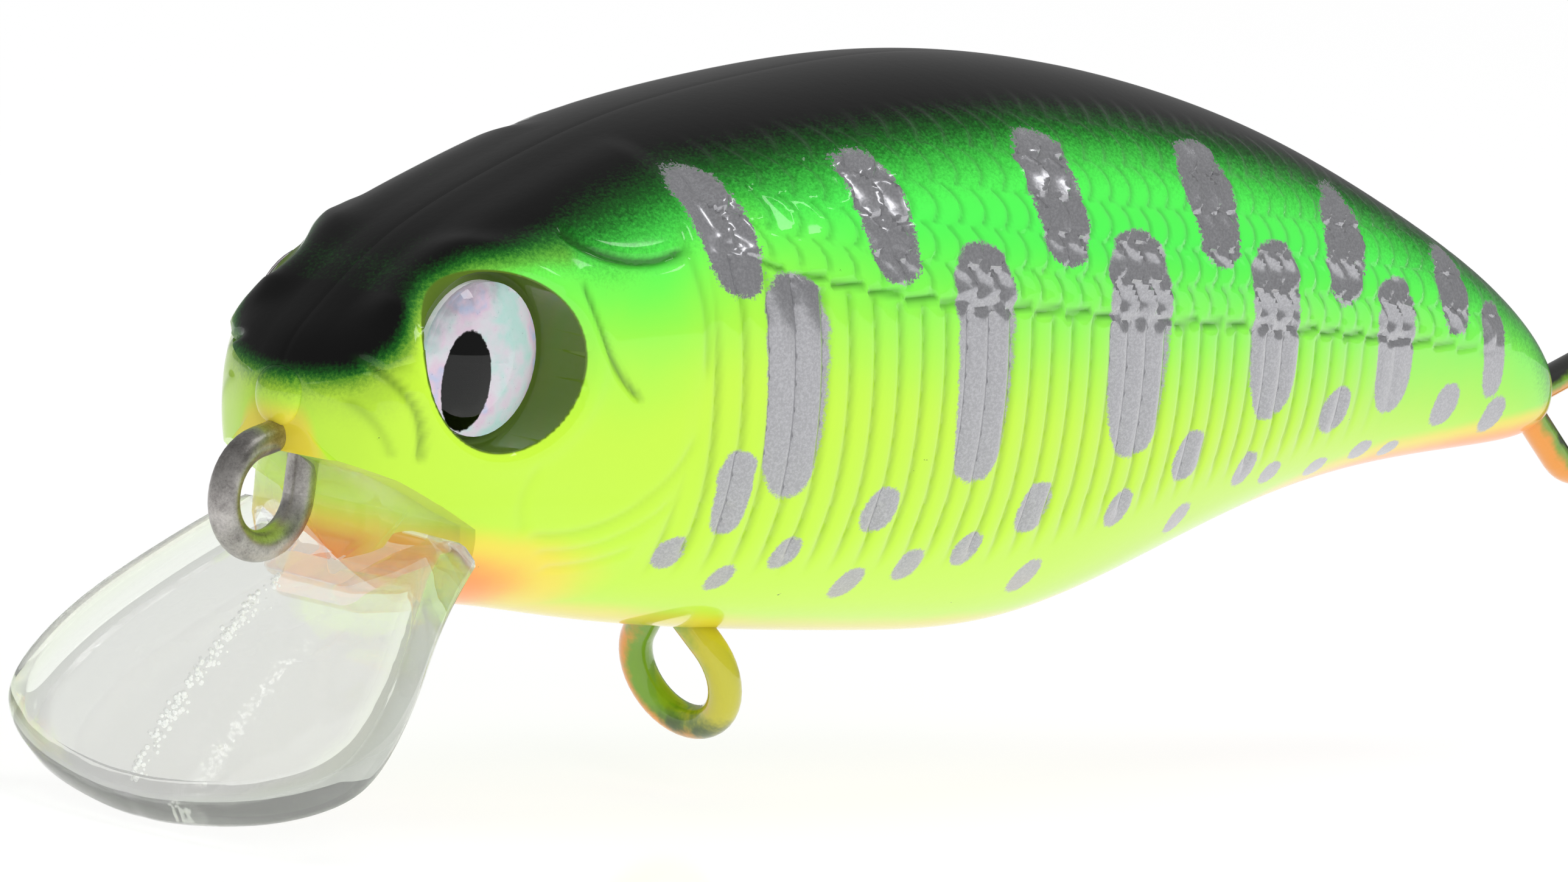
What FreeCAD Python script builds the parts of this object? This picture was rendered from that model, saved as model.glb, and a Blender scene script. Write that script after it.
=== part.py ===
import FreeCAD, Part
import math
import os
import Sketcher
from FreeCAD import Placement, Rotation, Vector

# A 60 mm crankbait: two hollow plastic shells glued on the middle plane, a clear
# diving lip moulded in two halves, three bent wire eyes, doll's eyes in round
# sockets, fixed ballast in the keel and loose rattle balls in a row of cells.
# Working axes: +X to the nose, +Y to the left flank, +Z up, origin amidships.
# The finished pieces are moved so that the middle of the line tie is the origin.

doc = FreeCAD.newDocument("crankbait_lure")
dims = doc.addObject("Spreadsheet::Sheet", "Dims")

DRIVING = {
    "body_length": 59.9, "body_height": 18.0, "body_width": 14.4,
    "wall": 1.2, "web": 1.0,
    "tie_wire": 0.95, "tie_bend": 1.57, "tie_anchor_bend": 1.0, "tie_reach": 4.3,
    "hook_wire": 1.05, "hook_bend": 1.8, "hook_anchor_bend": 1.1, "hook_reach": 4.7,
    "tail_anchor_bend": 0.85, "tail_reach": 5.4, "wire_gap": 0.04,
    "socket_radius": 2.6, "eye_radius": 2.3, "eye_seat": 3.2,
    "foil_sheet": 0.2, "lens_edge": 0.25, "lens_rise": 0.8,
    "rattle_ball": 4.0, "ball_gap": 0.06, "cell_travel": 2.6, "tube_wall": 1.1,
    "front_weight": 6.0, "rear_weight": 5.0, "weight_gap": 0.04,
    "lip_width": 14.4, "lip_sheet": 1.6, "root_width": 7.8, "key_width": 3.6, "key_gap": 0.05,
    "pin_size": 1.5, "pin_length": 1.3, "pin_gap": 0.05,
}


def fill_sheet():
    """One row a size: its name in column A, its value in column B."""
    for row, (name, value) in enumerate(DRIVING.items(), start=1):
        dims.set(f"A{row}", name)
        dims.set(f"B{row}", str(value))
        dims.setAlias(f"B{row}", name)
    doc.recompute()


def size(name):
    return float(getattr(dims, name))


fill_sheet()

# The body is drawn at 59.9 x 18.0 x 14.4 and stretched to the sheet's sizes.
STRETCH_X = size("body_length") / 59.9
STRETCH_Y = size("body_width") / 14.4
STRETCH_Z = size("body_height") / 18.0

# Cross sections from nose to tail: x, crown, keel, half width, height of the widest line, and how
# far the Bezier handles above that line reach: 0.55 is an ellipse, and more is squarer.
STATIONS = [
    (26.9, 0.2, -1.6, 0.9, -0.6, 0.61),
    (26.5, 1.1, -3.6, 2.3, -0.8, 0.64),
    (25.4, 2.2, -5.4, 3.7, -0.4, 0.7),
    (22.8, 4.2, -6.6, 4.75, 0.5, 0.72),
    (18.5, 6.2, -7.05, 5.6, 1.3, 0.66),
    (13.5, 7.9, -7.6, 6.6, 1.75, 0.61),
    (7.5, 9.1, -8.0, 7.2, 2.0, 0.61),
    (1.5, 9.8, -8.2, 7.1, 2.3, 0.61),
    (-4.5, 9.7, -8.0, 6.5, 2.3, 0.61),
    (-10.5, 8.9, -6.5, 5.6, 2.2, 0.61),
    (-16.5, 7.5, -4.7, 4.5, 1.8, 0.61),
    (-22.5, 5.5, -3.5, 3.4, 1.2, 0.61),
    (-28.0, 3.2, -2.95, 2.5, 0.5, 0.61),
    (-31.6, 0.9, -2.6, 1.7, -0.4, 0.61),
    (-33.0, -1.1, -2.0, 0.7, -1.6, 0.61),
]
# How far the handles below the widest line reach.
KEEL_FULLNESS = 0.61
# Cubic millimetres that every cut takes away at the least.
LEAST_CUT = 0.01
SIDES = {"left": 1, "right": -1}
# A ball's seam line is turned out of the middle plane, where the shells' faces meet it.
SEAM_ASIDE = Rotation(Vector(0, 0, 1), 40)

# Places on the middle plane, (x, z).
TIE = (27.15, -3.6)
TIE_ANGLE = -52.0
BELLY_EYE = (7.9, -9.35)
BELLY_LEAN = 25.0
TAIL_EYE = (-36.0, -1.95)
TAIL_DROP = 10.0
EYE = (22.3, 0.9)
TUBE_HEIGHT = 3.0
TUBE_FRONT = 18.6
CELLS = 4
FRONT_WEIGHT = (2.4, -4.3)
REAR_WEIGHT = (-3.9, -4.3)
PINS = [(20.5, 3.4), (11.7, -1.6), (-14.1, 3.0), (-27.4, 0.1)]
CHAMBERS = {
    "throat": (12.9, 18.6, -7.5, 0.3),
    "rear_keel": (-15.2, -7.6, -7.0, 0.3),
    "tail": (-25.8, -16.2, -6.0, 8.0),
    "crown": (-15.2, 17.0, 6.2, 10.0),
}
FLANK = (-15.2, 18.6, 0.3, 6.3)

# The throat, where the clear root of the lip takes over from the painted shells.
THROAT = [(26.4, -2.3), (25.2, -2.7), (22.2, -4.1), (20.7, -6.6)]
ROOT_FRONT = [(25.2, -5.2), (24.7, -4.6), (24.85, -3.3)]
KEY = [(23.4, -3.9), (22.4, -4.4), (21.6, -3.2), (22.6, -2.6)]
HEEL = [(22.3, -7.4), (24.4, -7.2)]
LIP_TOP = [(25.2, -5.2), (29.4, -8.95), (32.0, -12.75)]
# Everything below and ahead of the throat, which the shells leave to the lip.
BELOW_THROAT = [(20.7, -14.0), (34.0, -14.0), (34.0, -2.3)]
# The lip's plan: distance down the plate, and the share of its half width there.
LIP_PLAN = [
    (-6.0, 0.55), (-2.0, 0.61), (1.0, 0.78), (3.6, 0.93),
    (6.0, 1.0), (7.6, 0.9), (8.8, 0.62), (9.45, 0.28),
]
LIP_END = 9.6
# A trim that leaves more than this share of the plate has missed it.
MOST_LEFT = 0.97
# How deep a dowel starts in the left shell.
PIN_ROOT = 0.5


def spot(x, z, y=0.0):
    """A place in the drawn body, stretched with it."""
    return Vector(x * STRETCH_X, y, z * STRETCH_Z)


def add(kind, name, expressions=None, base=Vector(), rotation=Rotation(), **values):
    """A document object with its sizes bound to the sheet."""
    obj = doc.addObject(kind, name)
    for key, value in values.items():
        setattr(obj, key, value)
    for key, formula in (expressions or {}).items():
        obj.setExpression(key, formula)
    obj.Placement = Placement(base, rotation)
    return obj


def fused(name, pieces):
    return add("Part::MultiFuse", name, Shapes=pieces)


def cut(name, base, tool):
    return add("Part::Cut", name, Base=base, Tool=tool)


def common(name, first, second):
    return add("Part::Common", name, Base=first, Tool=second)


def section_poles(station, side, inset):
    """Bezier poles of half a cross section, from the crown over the widest line to the keel."""
    x, crown, keel, half_width, waist, fullness = station
    crown = crown * STRETCH_Z - inset
    keel = keel * STRETCH_Z + inset
    reach = side * (half_width * STRETCH_Y - inset)
    waist = waist * STRETCH_Z
    widest = (reach, waist)
    upper = [(0, crown), (fullness * reach, crown), (reach, waist + fullness * (crown - waist)), widest]
    flank = waist + KEEL_FULLNESS * (keel - waist)
    lower = [widest, (reach, flank), (KEEL_FULLNESS * reach, keel), (0, keel)]
    return [[Vector(x * STRETCH_X, y, z) for y, z in half] for half in (upper, lower)]


def skin_face(rows):
    """A smooth face through rows of Bezier poles, one row a station."""
    tracks = []
    for column in zip(*rows):
        track = Part.BSplineCurve()
        track.interpolate(Points=list(column), Parameters=[float(index) for index in range(len(column))])
        tracks.append(track)
    poles = [list(row) for row in zip(*[track.getPoles() for track in tracks])]
    surface = Part.BSplineSurface()
    surface.buildFromPolesMultsKnots(
        poles, tracks[0].getMultiplicities(), [4, 4], tracks[0].getKnots(), [0.0, 1.0], False, False, 3, 3
    )
    return surface.toShape(), tracks


def hull(name, side, stations, inset=0.0):
    """One half of the body: a free-form skin that neither workbench draws, closed on the middle plane."""
    sections = [section_poles(station, side, inset) for station in stations]
    upper, upper_tracks = skin_face([section[0] for section in sections])
    lower, lower_tracks = skin_face([section[1] for section in sections])
    crown = upper_tracks[0]
    keel = lower_tracks[-1]
    ends = []
    faces = [upper, lower]
    for section in (sections[0], sections[-1]):
        middle = Part.LineSegment(section[1][-1], section[0][0]).toShape()
        rims = []
        for poles in section:
            rim = Part.BezierCurve()
            rim.setPoles(poles)
            rims.append(rim.toShape())
        ends.append(middle)
        faces.append(Part.Face(Part.Wire(rims + [middle])))
    faces.append(Part.Face(Part.Wire(Part.__sortEdges__([crown.toShape(), keel.toShape()] + ends))))
    closed = Part.makeShell(faces)
    closed.sewShape()
    feature = doc.addObject("Part::Feature", name)
    feature.Shape = Part.makeSolid(closed)
    return feature


def tube_of_cells(side_name):
    """Bores of the rattle cells, one behind another along the tube."""
    bores = []
    for number in range(CELLS):
        bore = add(
            "Part::Cylinder", f"{side_name}_cell_{number + 1}",
            {
                "Radius": "Dims.rattle_ball / 2 + Dims.ball_gap",
                "Height": "Dims.rattle_ball + Dims.cell_travel",
            },
            base=Vector(cell_start(number), 0, TUBE_HEIGHT * STRETCH_Z),
            rotation=Rotation(Vector(0, 1, 0), -90),
        )
        bores.append(bore)
    return bores


def cell_start(number):
    """The front end of a cell."""
    pitch = size("rattle_ball") + size("cell_travel") + size("web")
    return TUBE_FRONT * STRETCH_X - number * pitch


def block(name, low, high):
    """A plain box between two corners."""
    extent = high - low
    return add("Part::Box", name, base=low, Length=extent.x, Width=extent.y, Height=extent.z)


def chamber_space(side_name, side):
    """The hollows of one shell: the space inside the wall, less the webs and the rattle tube."""
    inner = hull(f"{side_name}_inside", side, STATIONS[3:-2], size("wall"))
    reach = size("body_width")
    boxes = []
    for name, (x_low, x_high, z_low, z_high) in CHAMBERS.items():
        low = spot(x_low, z_low, min(0, side * reach))
        high = spot(x_high, z_high, max(0, side * reach))
        boxes.append(block(f"{side_name}_{name}_chamber", low, high))
    tube = size("rattle_ball") / 2 + size("ball_gap") + size("tube_wall")
    x_low, x_high, z_low, z_high = FLANK
    low = spot(x_low, z_low, min(side * tube, side * reach))
    high = spot(x_high, z_high, max(side * tube, side * reach))
    boxes.append(block(f"{side_name}_flank_chamber", low, high))
    return common(f"{side_name}_chambers", inner, fused(f"{side_name}_chamber_boxes", boxes))


def wire_figure(name, wire, bend, anchor, reach, gap=0.0):
    """A figure of eight in wire: the open eye at the origin, the anchor loop at -reach along X."""
    thickness = f"Dims.{wire} / 2 + {gap}"
    spread = math.degrees(math.acos((size(bend) + size(anchor)) / size(reach)))
    leg = math.sqrt(size(reach) ** 2 - (size(bend) + size(anchor)) ** 2)
    pieces = []
    for label, centre, radius, start in (("eye", 0.0, bend, 180), ("anchor", -size(reach), anchor, 0)):
        arc = add(
            "Part::Torus", f"{name}_{label}",
            {"Radius1": f"Dims.{radius}", "Radius2": thickness},
            base=Vector(centre, 0, 0), rotation=Rotation(Vector(0, 0, 1), start + spread),
            Angle3=360 - 2 * spread,
        )
        pieces.append(arc)
    along = math.cos(math.radians(spread))
    across = math.sin(math.radians(spread))
    for turn in (1, -1):
        start = Vector(-along, turn * across, 0) * size(bend)
        heading = Vector(-across, -turn * along, 0)
        leg_piece = add(
            "Part::Cylinder", f"{name}_leg_{1 if turn > 0 else 2}", {"Radius": thickness},
            base=start, rotation=Rotation(Vector(0, 0, 1), heading), Height=leg,
        )
        pieces.append(leg_piece)
    return fused(name, pieces)


def tie_placement():
    """The line tie lies in the middle plane, its eye forward and down."""
    turned = Rotation(Vector(0, 1, 0), -TIE_ANGLE) * Rotation(Vector(1, 0, 0), 90)
    return Placement(spot(*TIE), turned)


def belly_placement():
    """The belly eye lies across the body, swept back as it goes down."""
    turned = Rotation(Vector(0, 1, 0), 90 + BELLY_LEAN)
    return Placement(spot(*BELLY_EYE), turned)


def tail_placement():
    """The tail eye lies in the middle plane, pointing back and a little down."""
    turned = Rotation(Vector(0, 1, 0), 180 - TAIL_DROP) * Rotation(Vector(1, 0, 0), 90)
    return Placement(spot(*TAIL_EYE), turned)


WIRES = {
    "line_tie": ("tie_wire", "tie_bend", "tie_anchor_bend", "tie_reach", tie_placement),
    "belly_hanger": ("hook_wire", "hook_bend", "hook_anchor_bend", "hook_reach", belly_placement),
    "tail_hanger": ("hook_wire", "hook_bend", "tail_anchor_bend", "tail_reach", tail_placement),
}


def wire_eye(name):
    wire, bend, anchor, reach, place = WIRES[name]
    piece = wire_figure(name, wire, bend, anchor, reach)
    piece.Placement = place()
    return piece


def wire_seats(side_name):
    """The grooves that hold the three wires, a little wider than the wire."""
    seats = []
    for name, (wire, bend, anchor, reach, place) in WIRES.items():
        seat = wire_figure(f"{side_name}_{name}_seat", wire, bend, anchor, reach, size("wire_gap"))
        seat.Placement = place()
        seats.append(seat)
    return seats


def prism(name, outline, width):
    """A block with a side outline, as wide as given, centred on the middle plane."""
    face = Part.Face(Part.makePolygon([spot(x, z, -width / 2) for x, z in outline + outline[:1]]))
    feature = doc.addObject("Part::Feature", name)
    feature.Shape = face.extrude(Vector(0, width, 0))
    return feature


def shell(side_name):
    """One painted half of the body."""
    side = SIDES[side_name]
    outside = hull(f"{side_name}_outside", side, STATIONS)
    tools = [chamber_space(side_name, side)]
    tools += tube_of_cells(side_name)
    tools += wire_seats(side_name)
    tools.append(prism(f"{side_name}_throat_cut", THROAT + BELOW_THROAT, 2 * size("body_width")))
    tools.append(prism(f"{side_name}_key_seat", KEY, size("key_width") + 2 * size("key_gap")))
    tools.append(eye_socket(side_name, side))
    for label, centre in (("front_weight", FRONT_WEIGHT), ("rear_weight", REAR_WEIGHT)):
        tools.append(add(
            "Part::Sphere", f"{side_name}_{label}_seat",
            {"Radius": f"Dims.{label} / 2 + Dims.weight_gap"}, base=spot(*centre), rotation=SEAM_ASIDE,
        ))
    if side_name == "right":
        tools += dowels("right_dowel_hole", "Dims.pin_gap")
    body = outside
    for number, tool in enumerate(tools, start=1):
        body = cut(f"{side_name}_shell_cut_{number}", body, tool)
    if side_name == "left":
        body = fused("left_shell_with_pins", [body] + dowels("left_dowel", "0"))
    return body


def dowels(name, gap):
    """Alignment pins that stand on the left shell, or with a gap their holes in the right shell."""
    pins = []
    for number, place in enumerate(PINS, start=1):
        root = spot(*place) + Vector(0, PIN_ROOT, 0)
        pins.append(add(
            "Part::Cylinder", f"{name}_{number}",
            {"Radius": f"Dims.pin_size / 2 + {gap}", "Height": f"Dims.pin_length + {PIN_ROOT} + {gap}"},
            base=root, rotation=Rotation(Vector(1, 0, 0), 90),
        ))
    return pins


def eye_socket(side_name, side):
    """The round pocket for an eye, sunk square to the middle plane."""
    return add(
        "Part::Cylinder", f"{side_name}_eye_socket", {"Radius": "Dims.socket_radius"},
        base=spot(*EYE, side * size("eye_seat")), rotation=Rotation(Vector(1, 0, 0), -90 * side),
        Height=size("body_width"),
    )


def plane_of(body, role):
    return [plane for plane in body.Origin.OriginFeatures if plane.Role == role][0]


def sketch_on(body, name, role="XY_Plane", offset=Placement()):
    sketch = body.newObject("Sketcher::SketchObject", name)
    sketch.AttachmentSupport = [(plane_of(body, role), "")]
    sketch.MapMode = "FlatFace"
    sketch.AttachmentOffset = offset
    return sketch


def add_outline(sketch, points):
    """A closed outline of straight lines, joined end to end."""
    first = sketch.GeometryCount
    count = len(points)
    for index in range(count):
        sketch.addGeometry(Part.LineSegment(points[index], points[(index + 1) % count]), False)
    for index in range(count):
        following = first + (index + 1) % count
        sketch.addConstraint(Sketcher.Constraint("Coincident", first + index, 2, following, 1))


def eye_foil(side_name):
    """The printed disc at the bottom of the socket."""
    body = doc.addObject("PartDesign::Body", f"{side_name}_eye_foil")
    sketch = sketch_on(body, f"{side_name}_foil_outline")
    sketch.addGeometry(Part.Circle(Vector(), Vector(0, 0, 1), size("eye_radius")), False)
    sketch.addConstraint(Sketcher.Constraint("Coincident", 0, 3, -1, 1))
    sketch.addConstraint(Sketcher.Constraint("Radius", 0, size("eye_radius")))
    sketch.renameConstraint(1, "edge")
    sketch.setExpression("Constraints.edge", "Dims.eye_radius")
    pad = body.newObject("PartDesign::Pad", f"{side_name}_foil_pad")
    pad.Profile = sketch
    pad.setExpression("Length", "Dims.foil_sheet")
    body.Placement = eye_placement(SIDES[side_name], 0.0)
    return body


def eye_placement(side, lift):
    """Local +Z points out of the socket."""
    return Placement(spot(*EYE, side * (size("eye_seat") + lift)), Rotation(Vector(1, 0, 0), -90 * side))


def eye_lens(side_name):
    """The clear dome over the foil, turned from its half section."""
    body = doc.addObject("PartDesign::Body", f"{side_name}_eye_lens")
    sketch = sketch_on(body, f"{side_name}_lens_section", "XZ_Plane")
    radius = size("eye_radius")
    edge = size("lens_edge")
    top = edge + size("lens_rise")
    bulge = (radius ** 2 + size("lens_rise") ** 2) / (2 * size("lens_rise"))
    middle_angle = math.pi / 2 - math.asin(radius / bulge) / 2
    middle = Vector(bulge * math.cos(middle_angle), top - bulge + bulge * math.sin(middle_angle), 0)
    sketch.addGeometry(Part.LineSegment(Vector(0, 0, 0), Vector(radius, 0, 0)), False)
    sketch.addGeometry(Part.LineSegment(Vector(radius, 0, 0), Vector(radius, edge, 0)), False)
    sketch.addGeometry(Part.Arc(Vector(radius, edge, 0), middle, Vector(0, top, 0)), False)
    sketch.addGeometry(Part.LineSegment(Vector(0, top, 0), Vector(0, 0, 0)), False)
    revolution = body.newObject("PartDesign::Revolution", f"{side_name}_lens_turning")
    revolution.Profile = sketch
    revolution.ReferenceAxis = (sketch, ["V_Axis"])
    revolution.Angle = 360
    body.Placement = eye_placement(SIDES[side_name], size("foil_sheet"))
    return body


def lip_edge_points():
    """Half of the lip's outline in its own plane: distance down the lip, half width."""
    half = size("lip_width") / 2
    return [Vector(along * STRETCH_X, half * part, 0) for along, part in LIP_PLAN]


def lip_half(side_name):
    """One clear half of the diving lip, with its root under the chin and a key into the shell."""
    side = SIDES[side_name]
    body = doc.addObject("PartDesign::Body", f"{side_name}_lip_body")
    start, middle, tip = (Vector(x * STRETCH_X, z * STRETCH_Z, 0) for x, z in LIP_TOP)
    sheet = size("lip_sheet")
    down = (tip - start).normalize()
    under = Vector(down.y, -down.x, 0) * sheet
    plate = sketch_on(body, f"{side_name}_lip_side_view", "XZ_Plane")
    plate.addGeometry(Part.Arc(start, middle, tip), False)
    plate.addGeometry(Part.LineSegment(tip, tip + under), False)
    plate.addGeometry(Part.Arc(tip + under, middle + under, start + under), False)
    plate.addGeometry(Part.LineSegment(start + under, start), False)
    pad = pad_half(body, plate, f"{side_name}_lip_plate", "Dims.lip_width / 2", side)
    angle = math.degrees(math.atan2(-down.y, down.x))
    offset = Placement(Vector(start.x, 0, start.y), Rotation(Vector(0, 1, 0), angle))
    outline = sketch_on(body, f"{side_name}_lip_plan", "XY_Plane", offset)
    trim_outline(outline, side)
    doc.recompute()
    full = pad.Shape.Volume
    trim = body.newObject("PartDesign::Pocket", f"{side_name}_lip_trim")
    trim.Profile = outline
    trim.Type = "ThroughAll"
    trim.Midplane = True
    doc.recompute()
    if trim.Shape.Volume > MOST_LEFT * full:
        raise ValueError("the lip's plan outline trimmed nothing")
    root = sketch_on(body, f"{side_name}_root_side_view", "XZ_Plane")
    corners = THROAT + HEEL + ROOT_FRONT
    add_outline(root, [Vector(x * STRETCH_X, z * STRETCH_Z, 0) for x, z in corners])
    pad_half(body, root, f"{side_name}_lip_root", "Dims.root_width / 2", side)
    key = sketch_on(body, f"{side_name}_key_side_view", "XZ_Plane")
    add_outline(key, [Vector(x * STRETCH_X, z * STRETCH_Z, 0) for x, z in KEY])
    pad_half(body, key, f"{side_name}_lip_key", "Dims.key_width / 2", side)
    wire, bend, anchor, reach, place = WIRES["line_tie"]
    seat = wire_figure(f"{side_name}_lip_wire_seat", wire, bend, anchor, reach, size("wire_gap"))
    seat.Placement = place()
    return cut(f"{side_name}_lip_half", body, seat)


def pad_half(body, sketch, name, length, side):
    """Pads a side view from the middle plane out to one side."""
    pad = body.newObject("PartDesign::Pad", name)
    pad.Profile = sketch
    pad.Reversed = side > 0
    pad.setExpression("Length", length)
    return pad


def trim_outline(sketch, side):
    """A frame round the lip's outline: what it covers is cut away."""
    edge = [Vector(point.x, side * point.y, 0) for point in lip_edge_points()]
    curve = Part.BSplineCurve()
    tip = Vector(LIP_END * STRETCH_X, 0, 0)
    curve.interpolate(edge + [tip])
    sketch.addGeometry(curve, False)
    far = size("lip_width")
    corners = [tip, Vector(far, 0, 0), Vector(far, side * far, 0), Vector(edge[0].x, side * far, 0), edge[0]]
    for first, second in zip(corners, corners[1:]):
        sketch.addGeometry(Part.LineSegment(first, second), False)


def ball(name, diameter, centre):
    return add("Part::Sphere", name, {"Radius": f"Dims.{diameter} / 2"}, base=centre, rotation=SEAM_ASIDE)


def rattle(number):
    """A loose ball, at rest in the middle of its cell."""
    middle = cell_start(number) - (size("rattle_ball") + size("cell_travel")) / 2
    return ball(f"rattle_ball_{number + 1}", "rattle_ball", Vector(middle, 0, TUBE_HEIGHT * STRETCH_Z))


def build():
    """Every piece of the lure, by node name."""
    pieces = {}
    for side_name in SIDES:
        pieces[f"{side_name}_shell"] = shell(side_name)
        pieces[f"{side_name}_lip_half"] = lip_half(side_name)
        pieces[f"{side_name}_eye_foil"] = eye_foil(side_name)
        pieces[f"{side_name}_eye_lens"] = eye_lens(side_name)
    for name in WIRES:
        pieces[name] = wire_eye(name)
    pieces["front_ballast"] = ball("front_ballast", "front_weight", spot(*FRONT_WEIGHT))
    pieces["rear_ballast"] = ball("rear_ballast", "rear_weight", spot(*REAR_WEIGHT))
    for number in range(CELLS):
        pieces[f"rattle_ball_{number + 1}"] = rattle(number)
    doc.recompute()
    return pieces


def settle(pieces):
    """Names each piece and moves it so that the middle of the line tie is the origin."""
    shift = Placement(spot(*TIE) * -1, Rotation())
    for name, piece in pieces.items():
        piece.Label = name
        piece.Placement = shift * piece.Placement
    doc.recompute()


def took_away(obj):
    """Whether the tool met the base, and left its own faces in it."""
    met = obj.Base.Shape.common(obj.Tool.Shape).Volume > LEAST_CUT
    return met and len(obj.Shape.Faces) != len(obj.Base.Shape.Faces)


def check(pieces):
    for obj in doc.Objects:
        if "Invalid" in obj.State or "Error" in obj.State:
            raise ValueError(f"{obj.Label} did not build: {obj.State}")
    for obj in doc.Objects:
        if obj.TypeId == "Part::Cut" and not took_away(obj):
            raise ValueError(f"{obj.Tool.Label} cut nothing from {obj.Base.Label}")
    for name, piece in pieces.items():
        shape = piece.Shape
        if shape.isNull() or not shape.isValid() or len(shape.Solids) != 1:
            raise ValueError(f"{name} is not one valid solid: {len(shape.Solids)}")


def write(pieces):
    os.makedirs("parts", exist_ok=True)
    for name, piece in pieces.items():
        piece.Shape.exportStep(f"parts/{name}.step")
        print(name, round(piece.Shape.Volume, 2), piece.Shape.BoundBox)


PIECES = build()
settle(PIECES)
check(PIECES)
write(PIECES)
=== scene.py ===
"""A painted crankbait lure on a pale studio floor.

The lure's drawing frame is in millimetres with its origin amidships: +X to the nose, +Y to the
left flank, +Z up. The scene is in metres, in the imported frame, whose origin is the line tie.
"""

import logging
import math
from dataclasses import dataclass, field
from enum import Enum
from typing import Callable, Optional, Sequence, Union

import bpy
import numpy as np
from mathutils import Matrix, Vector


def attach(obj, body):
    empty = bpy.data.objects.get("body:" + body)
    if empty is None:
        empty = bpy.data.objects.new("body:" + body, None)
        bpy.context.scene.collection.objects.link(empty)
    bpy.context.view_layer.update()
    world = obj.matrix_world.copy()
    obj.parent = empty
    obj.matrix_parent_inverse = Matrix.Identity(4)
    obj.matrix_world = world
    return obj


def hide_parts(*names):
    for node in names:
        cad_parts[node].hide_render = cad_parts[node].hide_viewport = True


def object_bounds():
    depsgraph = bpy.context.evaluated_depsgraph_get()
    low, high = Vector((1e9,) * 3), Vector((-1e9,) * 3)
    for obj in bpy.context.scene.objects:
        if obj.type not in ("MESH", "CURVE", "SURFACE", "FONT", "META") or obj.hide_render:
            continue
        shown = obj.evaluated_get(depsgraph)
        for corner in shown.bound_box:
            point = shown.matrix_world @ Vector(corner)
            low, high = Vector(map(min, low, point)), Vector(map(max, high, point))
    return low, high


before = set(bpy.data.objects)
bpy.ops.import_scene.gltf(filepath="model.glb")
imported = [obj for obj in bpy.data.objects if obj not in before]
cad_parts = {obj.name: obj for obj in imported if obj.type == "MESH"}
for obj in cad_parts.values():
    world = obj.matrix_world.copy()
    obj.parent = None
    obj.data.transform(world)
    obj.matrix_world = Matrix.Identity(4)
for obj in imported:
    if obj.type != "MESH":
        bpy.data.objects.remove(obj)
CAD_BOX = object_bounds()

MM = 0.001
TIE_CENTRE = np.array([27.15, 0.0, -3.6])
# x and z of the eyes' axis, and the radius of their sockets.
EYE = (22.3, 0.9)
SOCKET_RADIUS = 2.6
LOG = logging.getLogger("crankbait")
Colour = tuple[float, float, float]
Number = Union[float, int, "Signal"]


def tint(red: int, green: int, blue: int) -> Colour:
    """Turns an 8-bit screen colour into a linear one.

    Args:
        red: Red, 0 to 255.
        green: Green, 0 to 255.
        blue: Blue, 0 to 255.

    Returns:
        The linear colour.
    """
    def linear(level: int) -> float:
        """One channel in linear light."""
        share = level / 255
        return share / 12.92 if share <= 0.04045 else ((share + 0.055) / 1.055) ** 2.4
    return (linear(red), linear(green), linear(blue))


def placed(points: np.ndarray) -> np.ndarray:
    """Moves drawing points (mm) into the scene (m).

    Args:
        points: Rows of x, y, z in the drawing frame.

    Returns:
        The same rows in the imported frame.
    """
    return (points - TIE_CENTRE) * MM


def smooth(low: float, high: float, value: np.ndarray) -> np.ndarray:
    """A smooth step from 0 at low to 1 at high.

    Args:
        low: Where the step starts.
        high: Where it is complete; lower than low for a falling step.
        value: Where to read it.

    Returns:
        The height of the step.
    """
    share = np.clip((value - low) / (high - low), 0.0, 1.0)
    return share * share * (3 - 2 * share)


def line_height(path: Sequence[Sequence[float]], x: np.ndarray, column: int = 1) -> np.ndarray:
    """Reads a line that runs from the nose to the tail.

    Args:
        path: Rows that start with x, falling.
        x: Where to read it.
        column: Which number of a row is wanted.

    Returns:
        The wanted number at each x.
    """
    return np.interp(-x, [-row[0] for row in path], [row[column] for row in path])


def between(edges: Sequence[float], x: np.ndarray) -> np.ndarray:
    """A zone of the body with soft ends.

    Args:
        edges: Where it begins at the front, is full, is still full, and ends at the rear.
        x: Where to read it.

    Returns:
        1 inside, falling to 0 outside.
    """
    front, full, still, rear = edges
    return smooth(front, full, x) * smooth(rear, still, x)


def bell(distance: np.ndarray, width: float) -> np.ndarray:
    """A soft round profile, 1 at no distance."""
    return np.exp(-((distance / width) ** 2))


def track(values: Sequence[float], at: np.ndarray) -> np.ndarray:
    """A cubic spline through values spaced one apart.

    Args:
        values: The values at 0, 1, 2 and so on.
        at: Where to read the spline.

    Returns:
        The spline's values.
    """
    known = np.asarray(values, float)
    count = len(known)
    system = np.zeros((count, count))
    right = np.zeros(count)
    for row in range(1, count - 1):
        system[row, row - 1:row + 2] = (1, 4, 1)
        right[row] = 3 * (known[row + 1] - known[row - 1])
    system[0, 0] = system[-1, -1] = 1
    right[0] = (-3 * known[0] + 4 * known[1] - known[2]) / 2
    right[-1] = (3 * known[-1] - 4 * known[-2] + known[-3]) / 2
    slope = np.linalg.solve(system, right)
    first = np.clip(np.floor(at).astype(int), 0, count - 2)
    t = at - first
    return (
        known[first] * (1 + 2 * t) * (1 - t) ** 2 + slope[first] * t * (1 - t) ** 2
        + known[first + 1] * t * t * (3 - 2 * t) + slope[first + 1] * t * t * (t - 1)
    )


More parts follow.
